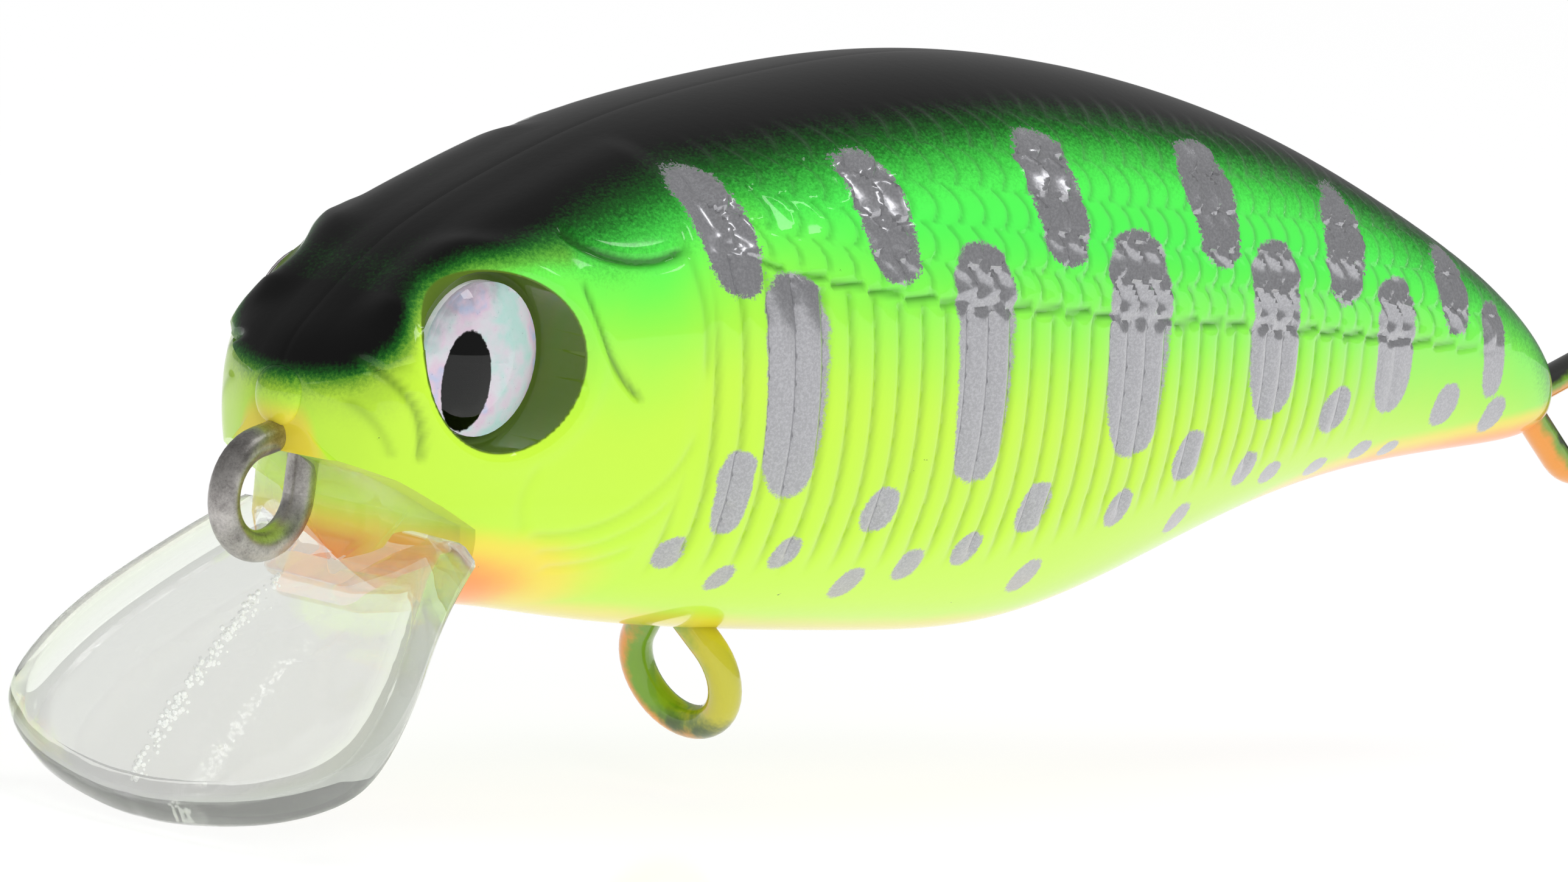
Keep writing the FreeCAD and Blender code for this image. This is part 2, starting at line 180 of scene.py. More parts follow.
class Side(Enum):
    """The two flanks, by the sign of their Y."""

    LEFT = 1
    RIGHT = -1


class Solver(Enum):
    """How one solid acts on another."""

    AWAY = "DIFFERENCE"
    JOIN = "UNION"


# The Mix node's sockets for colours, which share their names with those for numbers.
MIX_SHARE, MIX_OFF, MIX_ON, MIX_RESULT = 0, 6, 7, 2


class Signal:
    """A shader socket that can be used in arithmetic."""

    def __init__(self, recipe: "Recipe", socket: bpy.types.NodeSocket) -> None:
        """Wraps a socket.

        Args:
            recipe: The material being made.
            socket: An output socket of it.
        """
        self.recipe = recipe
        self.socket = socket

    def _math(self, operation: str, first: Number, second: Number) -> "Signal":
        """Adds a Math node."""
        return self.recipe.node(
            "ShaderNodeMath", {"operation": operation}, {0: first, 1: second})["Value"]

    def __add__(self, other: Number) -> "Signal":
        """self + other."""
        return self._math("ADD", self, other)

    def __radd__(self, other: Number) -> "Signal":
        """other + self."""
        return self._math("ADD", other, self)

    def __sub__(self, other: Number) -> "Signal":
        """self - other."""
        return self._math("SUBTRACT", self, other)

    def __rsub__(self, other: Number) -> "Signal":
        """other - self."""
        return self._math("SUBTRACT", other, self)

    def __mul__(self, other: Number) -> "Signal":
        """self * other."""
        return self._math("MULTIPLY", self, other)

    def __rmul__(self, other: Number) -> "Signal":
        """other * self."""
        return self._math("MULTIPLY", other, self)

    def __truediv__(self, other: Number) -> "Signal":
        """self / other."""
        return self._math("DIVIDE", self, other)

    def __pow__(self, other: Number) -> "Signal":
        """self to the power of other."""
        return self._math("POWER", self, other)

    def least(self, other: Number) -> "Signal":
        """The smaller of the two."""
        return self._math("MINIMUM", self, other)

    def most(self, other: Number) -> "Signal":
        """The larger of the two."""
        return self._math("MAXIMUM", self, other)

    def size(self) -> "Signal":
        """The value without its sign."""
        return self._math("ABSOLUTE", self, 0.0)

    def step(self, low: float, high: float) -> "Signal":
        """A smooth step from 0 at low to 1 at high.

        Args:
            low: Where the step starts.
            high: Where it is complete.

        Returns:
            The step.
        """
        return self.recipe.node(
            "ShaderNodeMapRange", {"interpolation_type": "SMOOTHSTEP"},
            {"Value": self, "From Min": low, "From Max": high})["Result"]

    def blend(self, off: Union[Colour, "Signal"], on: Union[Colour, "Signal"]) -> "Signal":
        """A colour between two, with this value as the share.

        Args:
            off: The colour where this is 0.
            on: The colour where this is 1.

        Returns:
            The mixed colour.
        """
        mixed = self.recipe.node(
            "ShaderNodeMix", {"data_type": "RGBA", "clamp_factor": True},
            {MIX_SHARE: self, MIX_OFF: off, MIX_ON: on})
        return mixed[MIX_RESULT]


class Made:
    """A node that has been added, whose outputs are read by name."""

    def __init__(self, recipe: "Recipe", raw: bpy.types.Node) -> None:
        """Keeps the node and the recipe it belongs to."""
        self.recipe = recipe
        self.raw = raw

    def __getitem__(self, name: Union[str, int]) -> Signal:
        """An output of the node."""
        return Signal(self.recipe, self.raw.outputs[name])


class Recipe:
    """One material and the nodes that make it."""

    def __init__(self, name: str, **constants: Union[float, Colour]) -> None:
        """Starts a material with a Principled shader.

        Args:
            name: The material's name.
            constants: Values set on the shader's own sockets, with _ for a space.
        """
        self.material = bpy.data.materials.new(name)
        self.material.use_nodes = True
        self.tree = self.material.node_tree
        self.shader = next(n for n in self.tree.nodes if n.type == "BSDF_PRINCIPLED")
        for key, value in constants.items():
            self._set(self.shader.inputs[key.replace("_", " ")], value)
        self._place: Optional[Signal] = None

    def _set(self, socket: bpy.types.NodeSocket, value: Union[Number, Colour, Sequence[float]]) -> None:
        """Links a signal to a socket, or sets its value.

        Args:
            socket: An input socket.
            value: What it gets.
        """
        if isinstance(value, Signal):
            self.tree.links.new(value.socket, socket)
        elif isinstance(value, (tuple, list)) and len(value) == 3 and socket.type == "RGBA":
            socket.default_value = (*value, 1.0)
        else:
            socket.default_value = value

    def node(self, kind: str, settings: Optional[dict] = None, inputs: Optional[dict] = None) -> Made:
        """Adds any node.

        Args:
            kind: The node's type name.
            settings: Its own settings, set first; "stops" gives a ramp's stops.
            inputs: Values or signals by socket name or number.

        Returns:
            The node.
        """
        raw = self.tree.nodes.new(kind)
        for key, value in (settings or {}).items():
            if key == "stops":
                while len(raw.color_ramp.elements) < len(value):
                    raw.color_ramp.elements.new(1.0)
                for element, (position, colour) in zip(raw.color_ramp.elements, value):
                    element.position = position
                    element.color = (*colour, 1.0)
            else:
                setattr(raw, key, value)
        for key, value in (inputs or {}).items():
            self._set(raw.inputs[key], value)
        return Made(self, raw)

    def place(self) -> Signal:
        """The point on the object.

        Returns:
            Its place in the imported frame, in metres.
        """
        if self._place is None:
            self._place = self.node("ShaderNodeTexCoord")["Object"]
        return self._place

    def axis(self, index: int) -> Signal:
        """One drawing coordinate in millimetres.

        Args:
            index: 0 for x, 1 for y, 2 for z.

        Returns:
            The coordinate.
        """
        split = self.node("ShaderNodeSeparateXYZ", None, {0: self.place()})
        return split[index] * (1 / MM) + float(TIE_CENTRE[index])

    def stored(self, name: str) -> Signal:
        """A value kept on the mesh's points."""
        return self.node("ShaderNodeAttribute", {"attribute_name": name})["Fac"]

    def grain(self, pitch: float, detail: float = 2.0, rough: float = 0.5) -> Signal:
        """Soft noise from 0 to 1.

        Args:
            pitch: Its size in millimetres.
            detail: How many finer layers it has.
            rough: How strong those are.

        Returns:
            The noise.
        """
        return self.node(
            "ShaderNodeTexNoise", None,
            {"Vector": self.place(), "Scale": 1 / (pitch * MM), "Detail": detail, "Roughness": rough})["Fac"]

    def ramp(self, share: Signal, stops: Sequence[tuple[float, Colour]]) -> Signal:
        """A colour read from stops.

        Args:
            share: Where to read, 0 to 1.
            stops: Pairs of place and colour.

        Returns:
            The colour.
        """
        return self.node("ShaderNodeValToRGB", {"stops": stops}, {"Fac": share})["Color"]

    def bump(self, height: Signal, depth: float) -> None:
        """Gives the surface fine relief.

        Args:
            height: The relief, 0 to 1.
            depth: Its depth in millimetres.
        """
        bumped = self.node(
            "ShaderNodeBump", None, {"Strength": 1.0, "Distance": depth * MM, "Height": height})
        self._set(self.shader.inputs["Normal"], bumped["Normal"])

    def finish(self, **sockets: Signal) -> bpy.types.Material:
        """Links what varies to the shader.

        Args:
            sockets: Signals by socket name, with _ for a space.

        Returns:
            The finished material.
        """
        for key, value in sockets.items():
            self._set(self.shader.inputs[key.replace("_", " ")], value)
        return self.material


@dataclass(frozen=True)
class Lacquer:
    """The sprayed body colours under a clear coat, with painted shade in the moulded hollows and a faint
    painted glow.
    """

    chartreuse: Colour = tint(200, 246, 60)
    green: Colour = tint(80, 246, 84)
    deep_green: Colour = tint(14, 120, 24)
    yellow: Colour = tint(244, 226, 66)
    orange: Colour = tint(255, 150, 62)
    black: Colour = tint(6, 6, 6)
    socket: Colour = tint(88, 116, 24)
    # Dark green for the painted shade in the moulded hollows, and for the random flecks.
    crease: Colour = tint(18, 66, 10)
    silver_dark: Colour = tint(168, 168, 172)
    silver_light: Colour = tint(186, 186, 190)
    snout: Colour = tint(150, 190, 60)
    eye: tuple[float, float] = EYE
    socket_radius: float = SOCKET_RADIUS
    speckle_pitch: float = 0.11
    cloud_pitch: float = 1.8
    fleck_pitch: float = 0.5
    flake_pitch: float = 0.09
    peel_pitch: float = 0.35
    peel_depth: float = 0.006

    def sprayed(self, recipe: Recipe, speckle: Signal) -> Signal:
        """The colours of the flank, belly and nose, as the spray guns left them.

        Args:
            recipe: The paint's recipe.
            speckle: The fine spray dust, 0 to 1.

        Returns:
            The colour without the black back and the silver.
        """
        cloud = recipe.grain(self.cloud_pitch, 3.0) - 0.5
        lateral = recipe.stored("lateral") + cloud * 0.8
        colour = lateral.step(-4.2, 2.6).blend(self.chartreuse, self.green)
        warm = recipe.stored("warm") + cloud * 0.12
        colour = warm.step(0.15, 0.55).blend(colour, self.yellow)
        colour = warm.step(0.5, 1.0).blend(colour, self.orange)
        snout = recipe.stored("snout") + (speckle - 0.5) * 0.25
        colour = (snout.step(0.2, 1.0) * 0.7).blend(colour, self.snout)
        back = recipe.stored("back") + (speckle - 0.5) * 1.5
        return back.step(-2.2, 0.0).blend(colour, self.deep_green)

    def in_socket(self, recipe: Recipe) -> Signal:
        """1 on the wall and floor of an eye socket, 0 outside it.

        Args:
            recipe: The paint's recipe.

        Returns:
            The mask.
        """
        away = (recipe.axis(0) - self.eye[0]) ** 2 + (recipe.axis(2) - self.eye[1]) ** 2
        return (away ** 0.5).step(self.socket_radius + 0.09, self.socket_radius + 0.03)

    def material(self) -> bpy.types.Material:
        """Makes the paint.

        Returns:
            The material for both shells.
        """
        recipe = Recipe("painted_shell", Coat_Roughness=0.06, Coat_IOR=1.5, IOR=1.45,
                        Specular_IOR_Level=0.12, Emission_Strength=0.06)
        speckle = recipe.grain(self.speckle_pitch, 3.0, 0.7)
        colour = self.sprayed(recipe, speckle)
        black = (recipe.stored("back") + (speckle - 0.5) * 1.1).step(-0.9, 0.55)
        colour = black.blend(colour, self.black)
        # Painted shade: the crease colour darkens the moulded grooves, scale troughs, stitches and creases as
        # far as the stored hollow value says.
        colour = (recipe.stored("hollow").least(1.0) * 0.75).blend(colour, self.crease)
        fleck = recipe.grain(self.fleck_pitch, 4.0, 0.75)
        colour = fleck.step(0.73, 0.78).blend(colour, self.crease)
        edge = recipe.stored("silver") + (speckle - 0.5) * recipe.stored("ragged")
        silver = edge.step(-0.05, 0.07)
        flake = recipe.grain(self.flake_pitch, 2.0, 0.8)
        metal = flake.step(0.38, 0.66).blend(self.silver_dark, self.silver_light)
        inside = self.in_socket(recipe)
        colour = inside.blend(silver.blend(colour, metal), self.socket)
        silver = silver * (1 - inside)
        recipe.bump(recipe.grain(self.peel_pitch, 2.0), self.peel_depth)
        # Painted glow: the flank colours glow faintly, apart from the black back, the sockets and the silver.
        painted_glow = black.most(inside).most(silver).blend(colour, (0.0, 0.0, 0.0))
        return recipe.finish(
            Base_Color=colour, Emission_Color=painted_glow, Metallic=silver * 0.75,
            Coat_Weight=0.8 - black * 0.45, Roughness=0.36 - silver * 0.12 + flake * 0.02)


@dataclass(frozen=True)
class ClearPlastic:
    """The water-clear moulded lip, greener and darker towards its rim: partly the plastic's faint tint,
    partly painted shade for the edge.
    """

    clear: Colour = (0.93, 0.945, 0.92)
    # Greener, darker colour at the rim: the plastic's faint tint, deepened as painted shade at the edge.
    edge: Colour = (0.84, 0.92, 0.76)

    def material(self) -> bpy.types.Material:
        """Makes the clear plastic.

        Returns:
            The material of the lip.
        """
        recipe = Recipe("clear_lip", Transmission_Weight=1.0, IOR=1.42, Specular_IOR_Level=0.5)
        swirl = recipe.grain(2.2, 2.0)
        rim = recipe.stored("rim")
        recipe.bump(swirl + recipe.grain(0.5, 1.0) * 0.08, 0.02)
        return recipe.finish(
            # Painted shade: towards the rim the colour turns greener and darker and less see-through,
            # standing in for refraction and the long path through the edge.
            Base_Color=(rim * 0.8 + swirl * 0.2).blend(self.clear, self.edge),
            Roughness=recipe.grain(0.8, 3.0).step(0.45, 0.8) * 0.04 + 0.015,
            Alpha=rim * 0.36 + 0.56)


@dataclass(frozen=True)
class SeamAir:
    """Air caught in the glue of the lip's seam, drawn as beads painted bright that glow faintly: a painted
    highlight.
    """

    dull: Colour = (0.86, 0.88, 0.86)
    bright: Colour = (0.98, 0.99, 0.98)

    def material(self) -> bpy.types.Material:
        """Makes the beads' bright skin: a painted highlight with a faint painted glow.

        Returns:
            The material of the beads.
        """
        recipe = Recipe("seam_air", Specular_IOR_Level=0.8, Coat_Weight=1.0, Emission_Strength=0.25)
        # shine only varies how bright the painted highlight is across the beads.
        shine = recipe.grain(0.1, 2.0)
        colour = shine.blend(self.dull, self.bright)
        return recipe.finish(Base_Color=colour, Emission_Color=colour, Roughness=shine * 0.1 + 0.08)


@dataclass(frozen=True)
class ClearResin:
    """The domed resin over an eye."""

    clear: Colour = (0.99, 0.99, 0.99)
    warm: Colour = (0.97, 0.98, 1.0)

    def material(self) -> bpy.types.Material:
        """Makes the resin.

        Returns:
            The material of the lenses.
        """
        recipe = Recipe("eye_lens", Transmission_Weight=1.0, IOR=1.46)
        haze = recipe.grain(1.1, 2.0)
        recipe.bump(haze, 0.008)
        return recipe.finish(
            Base_Color=haze.blend(self.clear, self.warm), Roughness=haze * 0.02 + 0.005)


@dataclass(frozen=True)
class PearlFoil:
    """The printed eye: a pearl disc that breaks light into pale colours, and a black pupil. Its upper front
    is greyed with painted shade, and the disc has a faint painted glow.
    """

    pearl: Colour = tint(238, 238, 240)
    pink: Colour = tint(242, 230, 238)
    mint: Colour = tint(222, 240, 236)
    blue: Colour = tint(222, 230, 244)
    # Grey for the painted shade on the upper front of the disc, and for the dust specks.
    shade: Colour = tint(150, 152, 160)
    pupil: Colour = tint(12, 12, 12)
    pupil_centre: tuple[float, float] = (22.87, 0.25)
    pupil_reach: tuple[float, float] = (0.86, 1.42)

    def material(self) -> bpy.types.Material:
        """Makes the foil.

        Returns:
            The material of both foils.
        """
        recipe = Recipe("eye_foil", Coat_Weight=0.2, Emission_Strength=0.28)
        x = recipe.axis(0)
        z = recipe.axis(2)
        shift = recipe.grain(1.5, 3.0, 0.6)
        colour = recipe.ramp(
            shift, [(0.0, self.pearl), (0.36, self.mint), (0.46, self.pearl), (0.54, self.pink),
                    (0.62, self.blue), (0.75, self.pearl)])
        # Painted shade: the disc turns greyer towards its top and front, broken up by noise.
        dull = (z - 1.6) * 0.5 + (x - 22.6) * 0.35 + (recipe.grain(0.6, 3.0, 0.7) - 0.5) * 0.9
        colour = (dull.step(0.1, 1.2) * 0.55).blend(colour, self.shade)
        dust = recipe.grain(0.06, 2.0, 0.8)
        colour = dust.step(0.66, 0.8).blend(colour, self.shade)
        across = ((x - self.pupil_centre[0]) * (1 / self.pupil_reach[0])) ** 2
        along = ((z - self.pupil_centre[1]) * (1 / self.pupil_reach[1])) ** 2
        torn = (recipe.grain(0.16, 3.0, 0.7) - 0.5) * 0.28
        pupil = (across + along + torn).step(1.06, 0.94)
        colour = pupil.blend(colour, self.pupil)
        recipe.bump(dust, 0.004)
        # The disc glows faintly in its own colours, apart from the pupil: a painted glow.
        return recipe.finish(
            Base_Color=colour, Emission_Color=pupil.blend(colour, (0.0, 0.0, 0.0)),
            Metallic=(1 - pupil) * 0.15, Roughness=0.3 + dust * 0.15)


@dataclass(frozen=True)
class DrawnSteel:
    """Bright drawn wire with fine marks of the die."""

    bright: Colour = tint(214, 210, 206)
    dark: Colour = tint(132, 128, 126)

    def material(self) -> bpy.types.Material:
        """Makes the bare wire.

        Returns:
            The material of the line tie.
        """
        recipe = Recipe("bare_wire", Specular_IOR_Level=0.6)
        marks = recipe.grain(0.08, 4.0, 0.8)
        stain = recipe.grain(0.9, 3.0, 0.6)
        recipe.bump(marks, 0.006)
        return recipe.finish(
            Base_Color=(stain * 0.6 + marks * 0.4).step(0.3, 0.75).blend(self.dark, self.bright),
            Metallic=1.0 - stain * 0.1, Roughness=0.22 + marks * 0.16)


@dataclass(frozen=True)
class SprayedWire:
    """Wire that got the body's colours from the spray: green above, orange below."""

    green: Colour = tint(112, 160, 16)
    olive: Colour = tint(58, 84, 14)
    orange: Colour = tint(236, 150, 30)
    yellow: Colour = tint(196, 190, 30)
    black: Colour = tint(22, 22, 18)

    def material(self) -> bpy.types.Material:
        """Makes the sprayed wire.

        Returns:
            The material of both hangers.
        """
        recipe = Recipe("painted_wire", Coat_Weight=1.0, Coat_Roughness=0.06, Emission_Strength=0.05)
        x = recipe.axis(0)
        y = recipe.axis(1)
        z = recipe.axis(2)
        blotch = recipe.grain(0.7, 3.0, 0.6)
        normal = recipe.node("ShaderNodeNewGeometry")["Normal"]
        facing = recipe.node("ShaderNodeSeparateXYZ", None, {0: normal})
        tilt = facing[2] + (blotch - 0.5) * 0.9
        rear = x.step(-20.0, -24.0)
        lean = (blotch - 0.5) * 1.1 - facing[1] * 0.75 - facing[2] * 0.55 - y * 0.12
        belly = (y * 0.3 + blotch).step(0.35, 1.0).blend(self.green, self.yellow)
        belly = ((z + 11.6).size() * 0.6 + (blotch - 0.5)).step(0.75, 0.1).blend(belly, self.olive)
        belly = lean.step(0.15, 0.75).blend(belly, self.orange)
        tail = tilt.step(-0.55, 0.05).blend(self.orange, self.green)
        tail = tilt.step(0.0, 0.45).blend(tail, self.black)
        colour = rear.blend(belly, tail)
        drip = recipe.grain(0.5, 2.0)
        recipe.bump(drip, 0.03)
        # The sprayed colours also glow faintly: a painted glow.
        return recipe.finish(Base_Color=colour, Emission_Color=colour, Roughness=0.3 + blotch * 0.12)


@dataclass(frozen=True)
class BallMetal:
    """Loose balls and cast weights, hidden in the body."""

    name: str
    bright: Colour
    dark: Colour
    rough: float

    def material(self) -> bpy.types.Material:
        """Makes the metal.

        Returns:
            The material.
        """
        recipe = Recipe(self.name, Metallic=1.0)
        pits = recipe.grain(0.25, 4.0, 0.7)
        recipe.bump(pits, 0.01)
        return recipe.finish(
            Base_Color=pits.step(0.35, 0.7).blend(self.dark, self.bright), Roughness=self.rough + pits * 0.15)


@dataclass(frozen=True)
class StudioFloor:
    """A glossy white sheet."""

    white: Colour = (0.94, 0.94, 0.94)
    shade: Colour = (0.92, 0.92, 0.92)
    body: Colour = (0.34, 0.34, 0.34)

    def material(self) -> bpy.types.Material:
        """Makes the floor.

        Returns:
            The floor's material.
        """
        recipe = Recipe("studio_floor", Specular_IOR_Level=0.5, Emission_Strength=0.78)
        patch = recipe.grain(60.0, 2.0)
        colour = patch.blend(self.white, self.shade)
        return recipe.finish(
            Base_Color=(patch * 0.1).blend(self.body, self.shade), Emission_Color=colour,
            Roughness=patch * 0.03 + 0.09)


@dataclass
class Solid:
    """Points and faces in the drawing frame, on their way to becoming a piece."""

    points: np.ndarray
    faces: list[tuple[int, ...]]

    def mesh(self, name: str) -> bpy.types.Mesh:
        """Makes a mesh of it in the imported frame.

        Args:
            name: The mesh's name.

        Returns:
            The mesh, with its faces smooth.
        """
        made = bpy.data.meshes.new(name)
        made.from_pydata(placed(self.points).tolist(), [], self.faces)
        made.validate()
        made.shade_smooth()
        return made

    def piece(self, name: str) -> bpy.types.Object:
        """Makes an object of it.

        Args:
            name: The object's name.

        Returns:
            The object, in the scene.
        """
        made = bpy.data.objects.new(name, self.mesh(name))
        bpy.context.scene.collection.objects.link(made)
        return made


def worked(base: bpy.types.Object, tools: Sequence[bpy.types.Object], action: Solver) -> None:
    """Cuts tools out of a piece, or joins them to it, and removes the tools.

    Args:
        base: The piece.
        tools: Closed solids.
        action: What they do.
    """
    for tool in tools:
        modifier = base.modifiers.new("work", "BOOLEAN")
        modifier.operation = action.value
        modifier.solver = "MANIFOLD"
        modifier.object = tool
    bpy.context.view_layer.update()
    graph = bpy.context.evaluated_depsgraph_get()
    made = bpy.data.meshes.new_from_object(base.evaluated_get(graph))
    base.modifiers.clear()
    old = base.data
    base.data = made
    bpy.data.meshes.remove(old)
    for tool in tools:
        bpy.data.objects.remove(tool)


def drawn(mesh: bpy.types.Mesh) -> np.ndarray:
    """The points of a finished mesh.

    Args:
        mesh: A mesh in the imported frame.

    Returns:
        Rows of x, y, z in the drawing frame.
    """
    flat = np.empty(len(mesh.vertices) * 3)
    mesh.vertices.foreach_get("co", flat)
    return flat.reshape(-1, 3) / MM + TIE_CENTRE


def keep(mesh: bpy.types.Mesh, values: dict[str, np.ndarray]) -> None:
    """Stores values on a mesh's points, where a material reads them.

    Args:
        mesh: The mesh.
        values: One number per point, by name.
    """
    for name, value in values.items():
        layer = mesh.attributes.new(name, "FLOAT", "POINT")
        layer.data.foreach_set("value", value.astype(np.float32))


def soften(mesh: bpy.types.Mesh, sharpest: float) -> None:
    """Shades a mesh smooth, apart from its sharp edges.

    Args:
        mesh: The mesh.
        sharpest: The largest angle that is still smooth, in degrees.
    """
    mesh.shade_smooth()
    mesh.set_sharp_from_angle(angle=math.radians(sharpest))


def dressed(piece: bpy.types.Object, material: bpy.types.Material) -> bpy.types.Object:
    """Gives a piece its only material.

    Args:
        piece: The piece.
        material: The material.

    Returns:
        The same piece.
    """
    piece.data.materials.clear()
    piece.data.materials.append(material)
    return piece


def turned(profile: Sequence[tuple[float, float]], centre: Sequence[float], axis: Sequence[float],
           around: int = 96) -> Solid:
    """A closed solid of revolution.

    Args:
        profile: Pairs of distance along the axis and radius, from one end to the other.
        centre: Where distance 0 is.
        axis: The axis's direction.
        around: How many segments go round.

    Returns:
        The solid.
    """
    direction = Vector(axis).normalized()
    spin = direction.to_track_quat("Z", "Y").to_matrix()
    rings = []
    for along, radius in profile:
        for step in range(around):
            angle = 2 * math.pi * step / around
            rings.append(spin @ Vector((radius * math.cos(angle), radius * math.sin(angle), along)))
    points = np.array(rings) + np.array(centre)
    faces: list[tuple[int, ...]] = []
    for ring in range(len(profile) - 1):
        for step in range(around):
            after = (step + 1) % around
            first = ring * around
            faces.append((first + step, first + after, first + around + after, first + around + step))
    faces.append(tuple(reversed(range(around))))
    faces.append(tuple(range(len(points) - around, len(points))))
    return Solid(points, faces)


def prism(outline: Sequence[tuple[float, float]], low: float, high: float) -> Solid:
    """A closed block with a side outline.

    Args:
        outline: Pairs of x and z.
        low: The Y of one side.
        high: The Y of the other.

    Returns:
        The block.
    """
    count = len(outline)
    points = np.array([(x, y, z) for y in (low, high) for x, z in outline])
    area = sum(a[0] * b[1] - b[0] * a[1] for a, b in zip(outline, [*outline[1:], outline[0]]))
    faces: list[tuple[int, ...]] = [tuple(range(count)), tuple(reversed(range(count, 2 * count)))]
    for step in range(count):
        after = (step + 1) % count
        faces.append((after, step, count + step, count + after))
    if area < 0:
        faces = [tuple(reversed(face)) for face in faces]
    return Solid(points, faces)


def path_distance(path: Sequence[tuple[float, float]], x: np.ndarray,
                  z: np.ndarray) -> tuple[np.ndarray, np.ndarray]:
    """How far points are from a line through given places.

    Args:
        path: Places (x, z) on the line.
        x: The points' x.
        z: The points' z.

    Returns:
        The distance, and where along the line the nearest place is, 0 to 1.
    """
    knots = np.arange(len(path), dtype=float)
    fine = np.linspace(0, len(path) - 1, 8 * (len(path) - 1) + 1)
    if len(path) > 2:
        line = np.stack([track([p[0] for p in path], fine), track([p[1] for p in path], fine)], 1)
    else:
        line = np.stack([np.interp(fine, knots, [p[k] for p in path]) for k in (0, 1)], 1)
    best = np.full(x.shape, 1e9)
    where = np.zeros(x.shape)
    for index in range(len(line) - 1):
        start, leap = line[index], line[index + 1] - line[index]
        share = np.clip(((x - start[0]) * leap[0] + (z - start[1]) * leap[1]) / (leap @ leap), 0, 1)
        gap = np.hypot(x - start[0] - share * leap[0], z - start[1] - share * leap[1])
        nearer = gap < best
        best = np.where(nearer, gap, best)
        where = np.where(nearer, (index + share) / (len(line) - 1), where)
    return best, where


@dataclass(frozen=True)
class Crease:
    """A moulded line on the head.

    Attributes:
        path: Places (x, z) that it runs through.
        depth: How deep it is, or how high if negative.
        width: Half its width.
        dark: How much painted shade darkens it.
    """

    path: tuple[tuple[float, float], ...]
    depth: float
    width: float
    dark: float

    def mark(self, x: np.ndarray, z: np.ndarray) -> tuple[np.ndarray, np.ndarray]:
        """What the line does to the skin.

        Args:
            x: The points' x.
            z: The points' z.

        Returns:
            The height that it adds in mm, and how much painted shade darkens it.
        """
        gap, where = path_distance(self.path, x, z)
        pimple = self.width >= 0.2 and len(self.path) == 2
        fade = 1.0 if pimple else between((1.0, 0.88, 0.12, 0.0), where)
        return -self.depth * fade * bell(gap, self.width), self.dark * fade * bell(gap, self.width * 0.8)


# The ridge that runs from the nostril over the eye.
BROW = ((25.6, 1.5), (24.9, 2.35), (24.1, 3.0), (22.8, 3.8), (21.4, 4.2), (20.2, 4.3))
CREASES = (
    Crease(((19.9, 4.9), (19.3, 4.3), (18.2, 4.0), (17.0, 4.05), (15.8, 4.5)), 0.26, 0.17, 1.3),
    Crease(((19.8, 3.6), (19.5, 2.4), (18.9, 1.3), (18.2, 0.5), (17.4, -0.1)), 0.13, 0.13, 0.8),
    Crease(((15.9, 5.2), (15.9, 4.2), (15.5, 2.6), (15.2, 0.4)), 0.10, 0.16, 0.25),
    Crease(((20.3, -4.2), (18.6, -4.2), (17.0, -3.6), (15.7, -2.3), (15.1, -0.8)), 0.08, 0.16, 0.12),
    Crease(((19.6, -4.8), (17.8, -4.7), (16.3, -4.0), (15.2, -2.9)), 0.07, 0.14, 0.05),
    Crease(((18.8, -5.4), (17.2, -5.2), (15.9, -4.6)), 0.06, 0.14, 0.05),
    Crease(((20.6, -2.0), (20.9, -3.2), (20.2, -4.2)), 0.05, 0.20, 0.05),
    Crease(((26.3, 0.9), (25.8, 0.3), (25.2, -0.5), (24.9, -1.4), (24.8, -2.2)), 0.16, 0.15, 0.7),
    Crease(((26.5, -0.4), (25.9, -1.2), (25.5, -2.1)), 0.08, 0.14, 0.3),
    Crease(((25.9, 0.7), (25.0, 0.4), (24.9, -0.6)), 0.06, 0.14, 0.2),
    Crease(BROW, -0.09, 0.28, 0.0),
    Crease(((24.8, 2.1), (24.82, 2.15)), -0.26, 0.22, 0.0),
    Crease(((24.55, 1.85), (24.75, 1.75)), 0.12, 0.12, 0.9),
)

# x and z along the lateral line, and along the lower edge of the black back.
LATERAL = (
    (27.0, 4.9), (15.0, 4.7), (13.6, 4.3), (12.7, 3.9), (10.0, 3.55), (7.5, 3.2), (5.0, 3.05), (0.0, 2.75),
    (-5.0, 2.35), (-10.0, 2.1), (-14.0, 1.85), (-18.0, 1.5), (-22.5, 1.15), (-28.0, 0.6), (-33.0, -0.6))
BLACK = (
    (27.0, 0.1), (26.3, 0.5), (25.7, 1.2), (24.9, 2.45), (24.1, 3.15), (22.8, 3.95), (21.4, 4.35),
    (20.0, 4.75), (18.0, 5.5), (15.0, 6.6), (10.0, 7.5), (5.0, 8.15), (0.0, 8.5), (-5.0, 8.3), (-10.0, 7.7),
    (-15.0, 6.9), (-20.0, 5.6), (-25.0, 4.1), (-30.0, 2.0), (-33.0, -0.6))
# The lowest ends of the ribs, and the edge where the throat is cut out for the lip.
RIB_ENDS = ((15.0, -5.8), (0.0, -5.6), (-10.0, -3.6), (-22.0, -2.0))
MOUTH = ((26.4, -2.3), (25.2, -2.7), (22.2, -4.1), (20.7, -6.4))

# Where the ribs, the scales, the stitched side line, the mouth's edge and the greener cheek are.
RIBBED = (15.4, 14.8, -15.0, -23.0)
SCALED = (15.2, 14.6, -22.0, -31.0)
STITCHED = (15.0, 14.0, -20.0, -29.0)
LIPPED = (25.6, 24.4, 22.0, 20.5)
GREENER = (24.5, 21.0, 17.5, 13.0)

BAR_LEAN = 0.17
RIB_PITCH = 1.05
SCALE_ROW = 1.15
STITCH = 1.55


